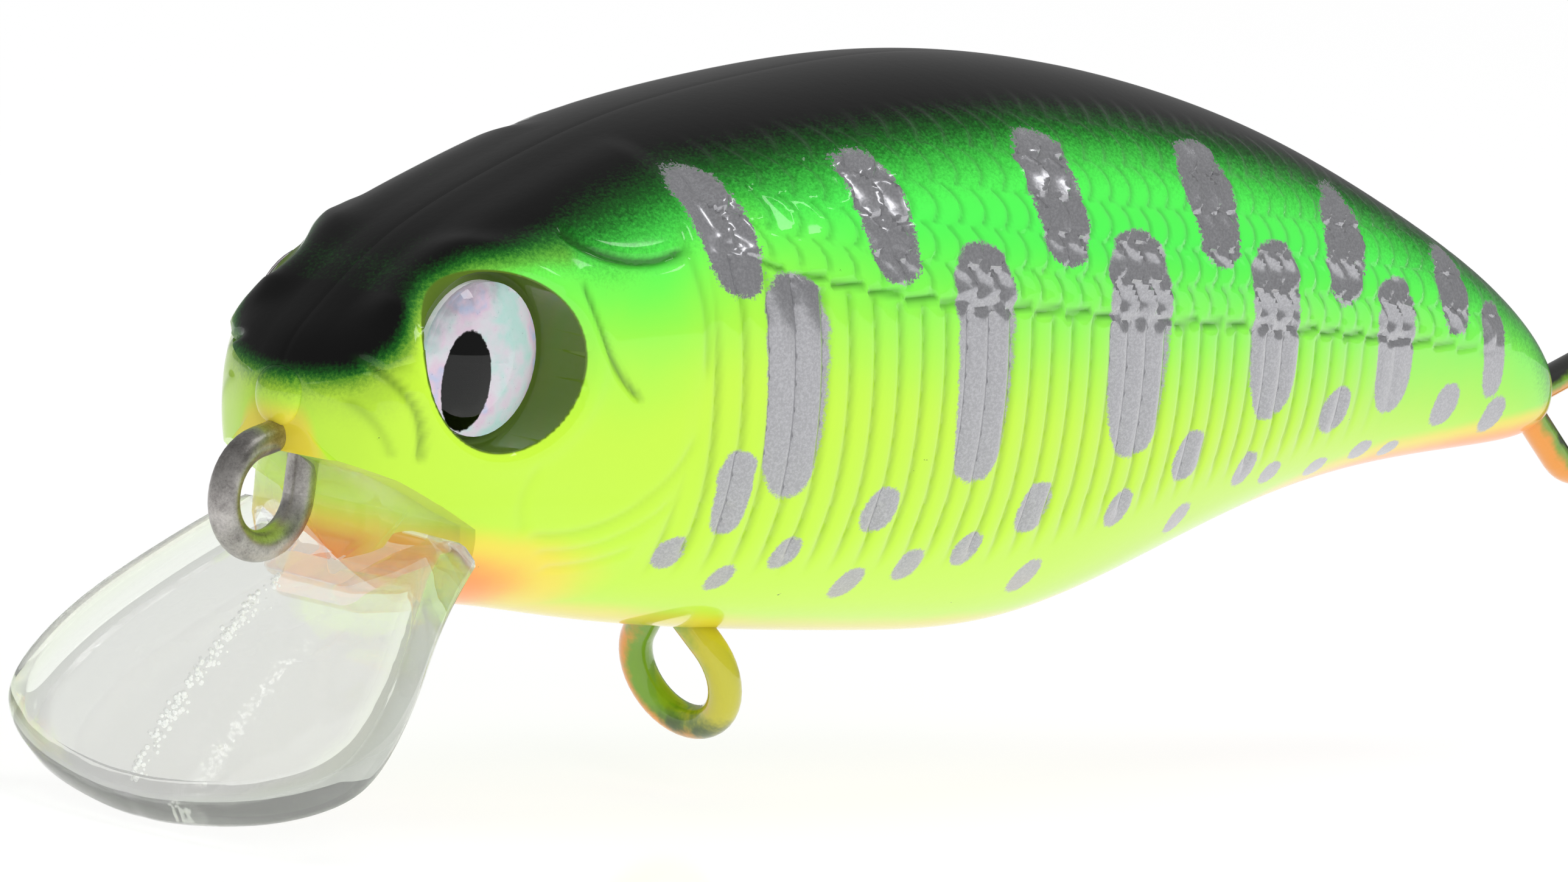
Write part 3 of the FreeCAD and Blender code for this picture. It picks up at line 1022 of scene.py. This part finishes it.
@dataclass(frozen=True)
class Bar:
    """A silver bar or spot on the flank.

    Attributes:
        middle: The x of its middle.
        top: The z of its top.
        bottom: The z of its bottom.
        width: Its width.
        ragged: How broken its edge is.
    """

    middle: float
    top: float
    bottom: float
    width: float
    ragged: float = 0.25

    def depth(self, x: np.ndarray, z: np.ndarray) -> np.ndarray:
        """How far points lie inside it, in mm; negative outside.

        Args:
            x: The points' x.
            z: The points' z.

        Returns:
            The depth.
        """
        centre = (self.top + self.bottom) / 2
        reach = (self.top - self.bottom) / 2
        half = self.width / 2
        tall = reach > 1.4 * half
        rel = (z - centre) / reach
        lean = BAR_LEAN if tall else 0.0
        across = x - self.middle - lean * (z - centre)
        if tall:
            across = across + 0.07 * np.sin(6.0 * z) * smooth(-0.5, 1.0, rel)
        sharp = 4.5 if tall else 2.2
        taper = np.clip(1.02 + (0.1 * rel if tall else 0.0), 0.5, 2)
        gauge = (np.abs(across / (half * taper)) ** 2.3 + np.abs(rel) ** sharp) ** (1 / 2.3)
        return (1 - gauge) * half


# x, top, bottom and width of the silver bars on the back and along the side.
UPPER = [(14.4, 6.7, 3.1, 2.0), (8.1, 7.4, 3.6, 2.1), (0.0, 8.1, 4.1, 2.5), (-8.8, 7.7, 3.9, 2.7),
         (-17.2, 6.2, 2.5, 2.7), (-24.6, 4.1, 1.3, 1.9)]
MIDDLE = [(11.7, 3.9, -3.0, 2.4), (3.6, 4.9, -2.6, 2.7), (-4.5, 5.2, -2.0, 3.3), (-12.7, 4.7, -1.1, 2.9),
          (-20.8, 3.3, -1.2, 2.3), (-27.4, 2.3, -0.9, 1.4)]
# x, z and radius of the round spots; x, z, half width and half height of the flat ones.
SPOTS = [(14.4, -4.8, 0.55), (11.8, -5.65, 0.45), (9.9, -4.8, 0.55), (6.8, -3.4, 0.75), (6.2, -5.9, 0.55),
         (4.0, -5.3, 0.55), (1.6, -4.8, 0.6), (-0.85, -3.5, 0.85), (-2.5, -5.9, 0.6), (-5.7, -3.7, 0.65),
         (-8.85, -2.1, 0.85), (-10.2, -4.3, 0.55), (-13.1, -2.75, 0.6), (-17.75, -0.95, 0.8),
         (-25.0, -1.05, 0.75), (-28.4, -1.5, 0.65)]
FLAT_SPOTS = [(-15.2, -3.0, 0.6, 0.4), (-18.6, -3.0, 0.6, 0.35), (-21.0, -2.5, 0.6, 0.35),
              (-23.0, -2.55, 0.5, 0.3)]
BARS = (
    [Bar(*bar, ragged=0.7) for bar in UPPER] + [Bar(*bar, ragged=0.3) for bar in MIDDLE]
    + [Bar(13.2, -1.5, -4.2, 1.35, 0.2)]
    + [Bar(x, z + r, z - r, 2 * r) for x, z, r in SPOTS]
    + [Bar(x, z + tall, z - tall, 2 * wide) for x, z, wide, tall in FLAT_SPOTS]
)


@dataclass
class BodyHalf:
    """One painted half of the body: moulded skin, eye socket, throat, hollow inside."""

    side: Side
    # x, crown, keel, half width, height of the widest line, fullness of the crown.
    stations: tuple[tuple[float, ...], ...] = (
        (26.9, 0.2, -1.6, 0.9, -0.6, 0.61), (26.5, 1.1, -3.6, 2.3, -0.8, 0.64),
        (25.4, 2.2, -5.4, 3.7, -0.4, 0.7), (22.8, 4.2, -6.6, 4.75, 0.5, 0.72),
        (18.5, 6.2, -7.05, 5.6, 1.3, 0.66), (13.5, 7.9, -7.6, 6.6, 1.75, 0.61),
        (7.5, 9.1, -8.0, 7.2, 2.0, 0.61), (1.5, 9.8, -8.2, 7.1, 2.3, 0.61),
        (-4.5, 9.7, -8.0, 6.5, 2.3, 0.61), (-10.5, 8.9, -6.5, 5.6, 2.2, 0.61),
        (-16.5, 7.5, -4.7, 4.5, 1.8, 0.61), (-22.5, 5.5, -3.5, 3.4, 1.2, 0.61),
        (-28.0, 3.2, -2.95, 2.5, 0.5, 0.61), (-31.6, 0.9, -2.6, 1.7, -0.4, 0.61),
        (-33.0, -1.1, -2.0, 0.7, -1.6, 0.61))
    keel_fullness: float = 0.61
    pitch: float = 0.135
    rows: int = 164
    eye: tuple[float, float] = EYE
    socket_radius: float = SOCKET_RADIUS
    socket_floor: float = 3.2
    throat: tuple[tuple[float, float], ...] = ((26.4, -2.3), (25.2, -2.7), (22.2, -4.1), (20.7, -6.6))
    tube_front: float = 18.6
    tube_height: float = 3.0
    cells: int = 4
    cell_length: float = 6.6
    cell_pitch: float = 7.6
    cell_radius: float = 2.06
    rib_swell: float = 0.045
    groove_depth: float = 0.10
    groove_width: float = 0.12
    scale_depth: float = 0.20
    stitch_depth: float = 0.14
    silver_boldness: float = 0.9
    cheek_rise: float = 0.10
    nose_reach: float = 0.35
    tail_reach: float = -0.3
    sharpest: float = 48.0

    def columns(self) -> np.ndarray:
        """Places the columns of points an even distance apart on the skin.

        Returns:
            Each column's place among the stations, counted from the first.
        """
        fine = np.linspace(0, len(self.stations) - 1, 4000)
        lines = [track([row[k] for row in self.stations], fine) for k in range(4)]
        moved = np.max([np.abs(np.diff(line)) for line in lines], axis=0)
        length = np.concatenate([[0], np.cumsum(moved)])
        return np.interp(np.linspace(0, length[-1], int(length[-1] / self.pitch)), length, fine)

    def grid(self) -> np.ndarray:
        """The plain skin as columns of points from crown to keel.

        Returns:
            An array of columns, rows and x, y, z.
        """
        along = self.columns()
        tracks = (track([row[k] for row in self.stations], along)[:, None] for k in range(6))
        x, crown, keel, half, waist, brow = tracks
        turn = np.linspace(0, 2, self.rows)[None, :]
        upper = turn <= 1
        t = np.where(upper, 1 - turn, turn - 1)
        full = np.where(upper, brow, self.keel_fullness)
        rise = 3 * full * t * (1 - t) ** 2 + 3 * t * t * (1 - t) + t ** 3
        wide = (1 - t) ** 3 + 3 * t * (1 - t) ** 2 + 3 * full * t * t * (1 - t)
        z = waist + np.where(upper, crown - waist, keel - waist) * rise
        y = np.maximum(half, 0.0) * wide
        return np.stack([np.broadcast_to(x, y.shape), y, z], axis=-1)

    def scales(self, x: np.ndarray, z: np.ndarray, above: np.ndarray) -> np.ndarray:
        """The overlapping scales above the lateral line.

        Args:
            x: The points' x.
            z: The points' z.
            above: The points' height over the lateral line.

        Returns:
            Their height, 0 to 1.
        """
        row = np.floor(above / SCALE_ROW)
        within = above / SCALE_ROW - row - 0.5
        back = -(x - BAR_LEAN * z) / RIB_PITCH + 0.5 * np.mod(row, 2) - 0.42 * (1 - (2 * within) ** 2)
        phase = np.mod(back, 1.0)
        return phase ** 1.6 * smooth(1.0, 0.82, phase) * (1 - 0.35 * (2 * within) ** 4)

    def ribs(self, x: np.ndarray, z: np.ndarray, above: np.ndarray) -> tuple[np.ndarray, np.ndarray]:
        """The upright ribs below the lateral line.

        Args:
            x: The points' x.
            z: The points' z.
            above: The points' height over the lateral line.

        Returns:
            Where the ribs are, 0 to 1, and the distance to the nearest groove.
        """
        groove = np.abs(np.mod((x - BAR_LEAN * z) / RIB_PITCH + 0.5, 1.0) - 0.5) * RIB_PITCH
        low = smooth(0.0, 1.6, z - line_height(RIB_ENDS, x))
        return between(RIBBED, x) * smooth(-0.05, -0.35, above) * low, groove

    def relief(self, x: np.ndarray, z: np.ndarray) -> tuple[np.ndarray, np.ndarray]:
        """The moulded detail of a flank.

        Args:
            x: The points' x.
            z: The points' z.

        Returns:
            The height of the detail in mm, and how much painted shade darkens it.
        """
        above = z - line_height(LATERAL, x)
        ribs, groove = self.ribs(x, z, above)
        swell = -0.5 * self.rib_swell * np.cos(2 * math.pi * groove / RIB_PITCH)
        height = ribs * (swell - self.groove_depth * bell(groove, self.groove_width))
        # hollow gathers painted shade: darkest in the rib grooves, the scale troughs, the stitched side line
        # and the creases.
        hollow = 0.42 * ribs * bell(groove, self.groove_width)
        scale = self.scales(x, z, above)
        scaled = between(SCALED, x) * smooth(0.1, 0.5, above) * smooth(0.7, -0.4, z - line_height(BLACK, x))
        height = height + self.scale_depth * scaled * (scale - 0.35)
        hollow = hollow + 0.35 * scaled * smooth(0.12, 0.0, scale)
        silver = np.max([bar.depth(x, z) for bar in BARS], axis=0)
        height = height * (1 + self.silver_boldness * smooth(-0.1, 0.2, silver))
        dash = np.mod(x / STITCH, 1.0)
        stitch = smooth(0.0, 0.08, dash) * smooth(1.0, 0.88, dash)
        stitch = stitch * bell(above + 0.22 * (dash - 0.5), 0.11) * between(STITCHED, x)
        height = height - self.stitch_depth * stitch + 0.05 * bell(above - 0.25, 0.15) * ribs
        hollow = hollow + 0.85 * stitch
        for crease in CREASES:
            rise, dark = crease.mark(x, z)
            height = height + rise
            hollow = hollow + dark
        from_rim = np.hypot(x - self.eye[0], z - self.eye[1]) - self.socket_radius
        calm = smooth(0.1, 0.7, from_rim)
        height = height * calm + 0.10 * bell(from_rim - 0.45, 0.35) - 0.16 * bell(from_rim, 0.14)
        cheek = smooth(15.0, 16.0, x) * smooth(-5.8, -4.2, z)
        return height + self.cheek_rise * cheek, np.minimum(hollow, 1.3) * calm

    def skin(self) -> Solid:
        """The moulded skin, closed on the middle plane.

        Returns:
            One half of the body without its holes.
        """
        flank = self.grid()
        along = np.gradient(flank, axis=0)
        down = np.gradient(flank, axis=1)
        normal = np.cross(along, down)
        normal /= np.maximum(np.linalg.norm(normal, axis=-1, keepdims=True), 1e-9)
        normal[..., 1] = np.abs(normal[..., 1])
        flip = np.sign(np.sum(normal * (flank - flank.mean(axis=1, keepdims=True)), axis=-1, keepdims=True))
        normal[..., (0, 2)] *= np.where(flip == 0, 1, flip)[..., [0, 0]]
        height, _ = self.relief(flank[..., 0], flank[..., 2])
        height = height * smooth(1.0, 2.6, flank[..., 1]) - 0.012 * bell(flank[..., 1], 0.12)
        flank = flank + normal * height[..., None]
        flank[:, 0, 1] = flank[:, -1, 1] = 0.0
        flank[..., 1] = np.maximum(flank[..., 1], 0.0)
        caps = [self.rounded(flank[0], self.nose_reach), self.rounded(flank[-1], self.tail_reach)]
        flank = np.concatenate([caps[0][::-1], flank, caps[1]])
        flank[..., 1] *= self.side.value
        count, rows = flank.shape[:2]
        number = np.arange(count * rows).reshape(count, rows)
        corners = [number[:-1, :-1], number[1:, :-1], number[1:, 1:], number[:-1, 1:]]
        if self.side is Side.RIGHT:
            corners.reverse()
        faces = np.stack(corners, -1).reshape(-1, 4).tolist()
        strip = [number[:-1, 0], number[:-1, -1], number[1:, -1], number[1:, 0]]
        ends = [number[0].tolist(), number[-1][::-1].tolist()]
        if self.side is Side.RIGHT:
            strip.reverse()
            ends = [end[::-1] for end in ends]
        faces += np.stack(strip, -1).tolist() + ends
        return Solid(flank.reshape(-1, 3), faces)

    def rounded(self, rim: np.ndarray, reach: float) -> np.ndarray:
        """Columns that round off an end of the body.

        Args:
            rim: The end's outline.
            reach: How far the rounding stands out along X.

        Returns:
            Columns from the rim outwards.
        """
        middle = np.array([rim[:, 0].mean(), 0.0, (rim[0, 2] + rim[-1, 2]) / 2])
        made = []
        for angle in (15, 30, 45, 60, 75, 86):
            share = math.cos(math.radians(angle))
            column = middle + (rim - middle) * share
            column[:, 0] += reach * math.sin(math.radians(angle))
            made.append(column)
        return np.array(made)

    def tools(self) -> list[Solid]:
        """Everything that is cut out of the half.

        Returns:
            The eye's socket, the throat and the rattle cells.
        """
        side = self.side.value
        radius = self.socket_radius
        floor = self.socket_floor
        profile = [(floor, radius - 0.16), (floor + 0.08, radius - 0.05), (floor + 0.3, radius),
                   (9.0, radius + 0.02)]
        eye = turned(profile, (self.eye[0], 0.0, self.eye[1]), (0, side, 0), 180)
        below = [(20.7, -14.0), (34.0, -14.0), (34.0, -2.3)]
        throat = prism([*self.throat, *below], -9.0, 9.0)
        cells = []
        for number in range(self.cells):
            start = (self.tube_front - number * self.cell_pitch, 0.0, self.tube_height)
            profile = [(0.0, self.cell_radius), (self.cell_length, self.cell_radius)]
            cells.append(turned(profile, start, (-1, 0, 0), 64))
        return [eye, throat, *cells]

    def warm(self, x: np.ndarray, z: np.ndarray) -> np.ndarray:
        """How much yellow and orange was sprayed on the throat, the belly and the mouth.

        Args:
            x: The points' x.
            z: The points' z.

        Returns:
            None at 0, orange from about 1.
        """
        over_keel = z - line_height(self.stations, x, 2)
        throat = smooth(13.0, 23.5, x) * smooth(-3.0, -6.4, z) * 1.25
        belly = smooth(1.9, 0.1, over_keel) * smooth(-12.0, -20.0, x) * 0.95
        chin = smooth(1.5, 0.0, over_keel) * 0.55
        mouth = between(LIPPED, x) * smooth(0.05, -0.15, z - line_height(MOUTH, x)) * 1.1
        return np.where(z > 1.0, 0.0, np.maximum.reduce([throat, belly, chin, mouth]))

    def snout(self, x: np.ndarray, z: np.ndarray) -> np.ndarray:
        """How much dull green lies on the nose and along the brow.

        Args:
            x: The points' x.
            z: The points' z.

        Returns:
            None at 0, all from 1.
        """
        nose = smooth(24.6, 26.2, x) * smooth(-2.6, 1.0, z) + smooth(23.4, 25.0, x) * smooth(1.6, 2.6, z)
        return nose + 0.85 * bell(path_distance(BROW, x, z)[0], 0.6)

    def keep_values(self, mesh: bpy.types.Mesh) -> None:
        """Stores on the points what the paint needs to know.

        Args:
            mesh: The finished mesh.
        """
        points = drawn(mesh)
        x, y, z = points[:, 0], np.abs(points[:, 1]), points[:, 2]
        above = z - line_height(LATERAL, x)
        black = line_height(BLACK, x)
        depths = np.array([bar.depth(x, z) for bar in BARS])
        nearest = depths.argmax(axis=0)
        ragged = np.array([bar.ragged for bar in BARS])[nearest]
        silver = np.where(y > 0.6, depths.max(axis=0), -5.0)
        _, hollow = self.relief(x, z)
        greener = 2.2 * between(GREENER, x)
        # hollow carries the painted shade of the grooves and creases, faded out near the middle plane.
        keep(mesh, {
            "lateral": above + greener, "back": (z - black) * (1 + 1.4 * smooth(18.5, 22.0, x)),
            "silver": silver, "ragged": ragged, "warm": self.warm(x, z), "snout": self.snout(x, z),
            "hollow": hollow * smooth(1.0, 2.4, y)})

    def build(self, paint: bpy.types.Material) -> bpy.types.Object:
        """Makes the half.

        Args:
            paint: The body's paint.

        Returns:
            The finished piece.
        """
        name = f"{self.side.name.lower()}_shell"
        piece = self.skin().piece(f"{name}_moulding")
        worked(piece, [tool.piece("tool") for tool in self.tools()], Solver.AWAY)
        soften(piece.data, self.sharpest)
        self.keep_values(piece.data)
        dressed(piece, paint)
        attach(piece, "lure")
        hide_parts(name)
        return piece


@dataclass
class Lip:
    """The clear diving lip: a bevelled plate, its root under the chin, and air in the glue seam."""

    start: tuple[float, float] = (25.2, -5.2)
    middle: tuple[float, float] = (29.4, -8.95)
    tip: tuple[float, float] = (32.0, -12.75)
    sheet: float = 1.6
    down: tuple[float, ...] = (-2.0, 1.0, 3.6, 6.0, 7.6, 8.8, 9.45, 9.6)
    half: tuple[float, ...] = (4.4, 5.62, 6.7, 7.15, 6.5, 4.5, 2.0, 0.0)
    droop: float = 0.45
    widest: float = 7.2
    chamfer: float = 0.42
    heart: tuple[float, float] = (4.2, 0.0)
    root_outline: tuple[tuple[float, float], ...] = (
        (26.2, -2.25), (25.1, -2.5), (23.6, -3.05), (22.0, -3.9), (21.3, -5.0), (20.95, -6.1), (21.3, -6.6),
        (22.6, -6.9), (24.3, -7.0), (25.4, -6.3), (25.5, -5.4), (24.9, -4.5), (25.0, -3.4))
    root_width: tuple[tuple[float, float], ...] = (
        (26.2, 1.0), (25.1, 2.3), (23.6, 3.2), (22.0, 3.75), (20.9, 3.6))
    root_edge: float = 0.5
    beads: int = 170
    sharpest: float = 50.0
    finish: ClearPlastic = field(default_factory=ClearPlastic)

    def surface(self, along: np.ndarray, across: np.ndarray, drop: np.ndarray) -> np.ndarray:
        """Points of the plate.

        Args:
            along: Distance down the plate from its start.
            across: Y.
            drop: Depth under the top surface.

        Returns:
            Rows of x, y, z.
        """
        first, last = np.array(self.start), np.array(self.tip)
        chord = last - first
        length = math.hypot(*chord)
        heading = chord / length
        up = np.array([-heading[1], heading[0]])
        offset = (np.array(self.middle) - first) @ up
        share = along / length
        arch = offset * 4 * share * (1 - share)
        lower = arch - drop - self.droop * (across / self.widest) ** 2
        flat = first[None, :] + along[:, None] * heading[None, :] + lower[:, None] * up[None, :]
        return np.stack([flat[:, 0], across, flat[:, 1]], -1)

    def outline(self) -> np.ndarray:
        """The plate's outline, from the left root round the tip.

        Returns:
            Rows of distance down the plate and Y.
        """
        fine = np.linspace(0, len(self.down) - 1, 90)
        down = track(self.down, fine)
        half = track(self.half, fine)
        half[-1] = 0.0
        right = np.stack([down, half], -1)
        left = right[::-1][1:] * np.array([1, -1])
        ring = np.concatenate([right, left])
        root = np.linspace(ring[-1], ring[0], 24)[1:-1]
        ring = np.concatenate([ring, root])
        step = np.linalg.norm(np.diff(np.concatenate([ring, ring[:1]]), axis=0), axis=1)
        length = np.concatenate([[0], np.cumsum(step)])
        even = np.linspace(0, length[-1], 361)[:-1]
        closed = np.concatenate([ring, ring[:1]])
        return np.stack([np.interp(even, length, closed[:, k]) for k in (0, 1)], -1)

    def plate(self) -> Solid:
        """The bevelled plate.

        Returns:
            A closed solid.
        """
        ring = self.outline()
        heart = np.array(self.heart)
        reach = np.linalg.norm(ring - heart, axis=1)
        inner = [np.full(len(ring), share) for share in np.linspace(0.04, 0.90, 26)]
        corner = [(-0.62, 0.0), (-self.chamfer, 0.03), (-0.22, 0.12), (-0.08, 0.26), (0.0, 0.5)]
        rim = [*corner, (0.0, 0.8), *[(inset, self.sheet - drop) for inset, drop in reversed(corner)]]
        rings = [(share, 0.0) for share in inner]
        rings += [((reach + inset) / reach, drop) for inset, drop in rim]
        rings += [(share, self.sheet) for share in reversed(inner)]
        points = []
        for share, drop in rings:
            flat = heart + (ring - heart) * share[:, None]
            points.append(self.surface(flat[:, 0], flat[:, 1], np.full(len(ring), drop)))
        grid = np.array(points)
        layers, around = grid.shape[:2]
        number = np.arange(layers * around).reshape(layers, around)
        after = np.roll(number, -1, axis=1)
        faces = np.stack([number[:-1], number[1:], after[1:], after[:-1]], -1).reshape(-1, 4)
        faces = faces[:, ::-1].tolist() + [number[0][::-1].tolist(), number[-1].tolist()]
        return Solid(grid.reshape(-1, 3), faces)

    def root(self) -> Solid:
        """The block that fills the throat and runs down into the plate.

        Returns:
            A closed solid, narrower below and towards the nose.
        """
        block = prism(self.root_outline, -1.0, 1.0)
        low = smooth(-4.4, -6.9, block.points[:, 2])
        block.points[:, 1] *= line_height(self.root_width, block.points[:, 0]) * (1 - 0.38 * low)
        return block

    def build(self) -> bpy.types.Object:
        """Makes the lip.

        Returns:
            The finished piece.
        """
        piece = self.plate().piece("clear_lip_moulding")
        root = self.root().piece("root")
        bevel = root.modifiers.new("round", "BEVEL")
        bevel.width = self.root_edge * MM
        bevel.segments = 5
        bevel.limit_method = "ANGLE"
        bevel.angle_limit = math.radians(20)
        worked(piece, [root], Solver.JOIN)
        soften(piece.data, self.sharpest)
        points = drawn(piece.data)
        heading = np.array([self.tip[0] - self.start[0], self.tip[1] - self.start[1]])
        heading = heading / np.linalg.norm(heading)
        along = (points[:, 0] - self.start[0]) * heading[0] + (points[:, 2] - self.start[1]) * heading[1]
        half = np.interp(along, self.down, self.half)
        # rim is 1 at the plate's edge, where the lip's colour takes its painted edge shade.
        keep(piece.data, {"rim": smooth(1.0, 0.1, half - np.abs(points[:, 1]))})
        dressed(piece, self.finish.material())
        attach(piece, "lure")
        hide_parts("left_lip_half", "right_lip_half")
        return piece

    def bubbles(self) -> bpy.types.Object:
        """Small beads of air along the glue seam in the middle of the plate.

        Returns:
            The finished piece.
        """
        chance = np.random.default_rng(7)
        points: list[np.ndarray] = []
        faces: list[tuple[int, ...]] = []
        for _ in range(self.beads):
            along = float(chance.uniform(1.2, 9.0))
            across = float(chance.normal(0.0, 0.10))
            radius = float(chance.uniform(0.03, 0.085))
            drop = float(abs(chance.normal(0.0, 0.25))) + 0.12
            centre = self.surface(np.array([along]), np.array([across]), np.array([drop]))[0]
            far, near = radius * 0.92, radius * 0.38
            ball = turned([(-far, near), (-near, far), (near, far), (far, near)], centre, (0, 0, 1), 8)
            first = sum(len(part) for part in points)
            points.append(ball.points)
            faces += [tuple(first + corner for corner in face) for face in ball.faces]
        piece = Solid(np.concatenate(points), faces).piece("lip_seam_air")
        dressed(piece, SeamAir().material())
        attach(piece, "lure")
        return piece


@dataclass
class Fittings:
    """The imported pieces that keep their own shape."""

    wire: DrawnSteel = field(default_factory=DrawnSteel)
    sprayed: SprayedWire = field(default_factory=SprayedWire)
    foil: PearlFoil = field(default_factory=PearlFoil)
    lens: ClearResin = field(default_factory=ClearResin)
    lead: BallMetal = BallMetal("ballast", tint(128, 130, 134), tint(74, 76, 80), 0.45)
    steel: BallMetal = BallMetal("rattle_steel", tint(205, 205, 208), tint(150, 150, 154), 0.12)

    def dress(self) -> list[str]:
        """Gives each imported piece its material.

        Returns:
            The names of the dressed pieces.
        """
        plan: dict[str, Callable[[], bpy.types.Material]] = {
            "line_tie": self.wire.material, "hanger": self.sprayed.material, "foil": self.foil.material,
            "lens": self.lens.material, "ballast": self.lead.material, "rattle": self.steel.material}
        names = []
        for word, make in plan.items():
            material = make()
            matching = [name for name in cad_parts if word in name]
            for name in matching:
                dressed(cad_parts[name], material)
            names += matching
        return names


@dataclass
class Studio:
    """The floor, the lights and the camera."""

    distance: float = 0.350
    scale: float = 53.0
    frame_width: int = 2576
    frame_height: int = 1449
    centre: tuple[float, float] = (1452.0, 600.0)
    azimuth: float = 130.5
    elevation: float = 6.1
    roll: float = 6.5
    sensor: float = 36.0
    floor_gap: float = 0.02
    floor_reach: float = 2500.0
    world_strength: float = 0.3

    def axes(self) -> tuple[Vector, Vector, Vector]:
        """The camera's directions.

        Returns:
            Right, up and backward.
        """
        turn, lift, roll = (math.radians(value) for value in (self.azimuth, self.elevation, self.roll))
        back = Vector((math.sin(turn) * math.cos(lift), -math.cos(turn) * math.cos(lift), math.sin(lift)))
        level = Vector((math.cos(turn), math.sin(turn), 0.0))
        over = back.cross(level)
        return (level * math.cos(roll) + over * math.sin(roll),
                over * math.cos(roll) - level * math.sin(roll), back)

    def camera(self) -> None:
        """Makes the camera."""
        right, over, back = self.axes()
        data = bpy.data.cameras.new("camera")
        data.sensor_width = self.sensor
        data.lens = self.distance / MM * self.scale * self.sensor / self.frame_width
        data.shift_x = -(self.centre[0] - self.frame_width / 2) / self.frame_width
        data.shift_y = -(self.frame_height / 2 - self.centre[1]) / self.frame_width
        data.clip_start = 0.01
        data.clip_end = 20.0
        data.dof.use_dof = False
        camera = bpy.data.objects.new("camera", data)
        place = Vector(placed(np.zeros(3))) + back * self.distance
        camera.matrix_world = Matrix.Translation(place) @ Matrix((right, over, back)).transposed().to_4x4()
        bpy.context.scene.collection.objects.link(camera)
        bpy.context.scene.camera = camera

    def floor(self) -> None:
        """Lays the floor under the lowest point."""
        level = CAD_BOX[0].z / MM + float(TIE_CENTRE[2]) - self.floor_gap
        reach = self.floor_reach
        corners = np.array([(-reach, -reach, level), (reach, -reach, level), (reach, reach, level),
                            (-reach, reach, level)])
        floor = Solid(corners, [(0, 1, 2, 3)]).piece("studio_floor")
        floor.data.materials.append(StudioFloor().material())

    def lamp(self, name: str, place: Sequence[float], size: float, power: float, glint: bool) -> None:
        """Hangs a soft lamp that faces the lure.

        Args:
            name: The lamp's name.
            place: Where it hangs, in metres.
            size: Its side.
            power: Its power in watts.
            glint: Whether glossy surfaces mirror it.
        """
        data = bpy.data.lights.new(name, "AREA")
        data.size = size
        data.energy = power
        lamp = bpy.data.objects.new(name, data)
        lamp.location = place
        lamp.visible_glossy = glint
        aim = Vector(placed(np.zeros(3))) - Vector(place)
        lamp.rotation_mode = "QUATERNION"
        lamp.rotation_quaternion = aim.to_track_quat("-Z", "Y")
        bpy.context.scene.collection.objects.link(lamp)

    def light(self) -> None:
        """Lights the lure softly from above and in front."""
        world = bpy.data.worlds.new("studio")
        world.use_nodes = True
        ground = world.node_tree.nodes["Background"]
        ground.inputs["Color"].default_value = (1.0, 1.0, 1.0, 1.0)
        ground.inputs["Strength"].default_value = self.world_strength
        bpy.context.scene.world = world
        bpy.context.scene.view_settings.view_transform = "Standard"
        self.lamp("overhead", (-0.10, 0.10, 0.60), 0.30, 1.5, False)
        self.lamp("front", (0.25, 0.50, 0.25), 0.25, 1.3, False)
        self.lamp("strip", (-0.20, 0.45, 0.55), 0.12, 0.25, True)

    def build(self) -> None:
        """Sets the whole studio."""
        self.camera()
        self.floor()
        self.light()


def main() -> None:
    """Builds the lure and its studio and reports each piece."""
    logging.basicConfig(level=logging.INFO, format="%(name)s: %(message)s")
    Studio().build()
    paint = Lacquer().material()
    pieces = [BodyHalf(side).build(paint) for side in Side]
    lip = Lip()
    pieces += [lip.build(), lip.bubbles()]
    for piece in pieces:
        LOG.info("%s: %d faces", piece.name, len(piece.data.polygons))
    LOG.info("dressed: %s", ", ".join(Fittings().dress()))


if __name__ == "__main__":
    main()
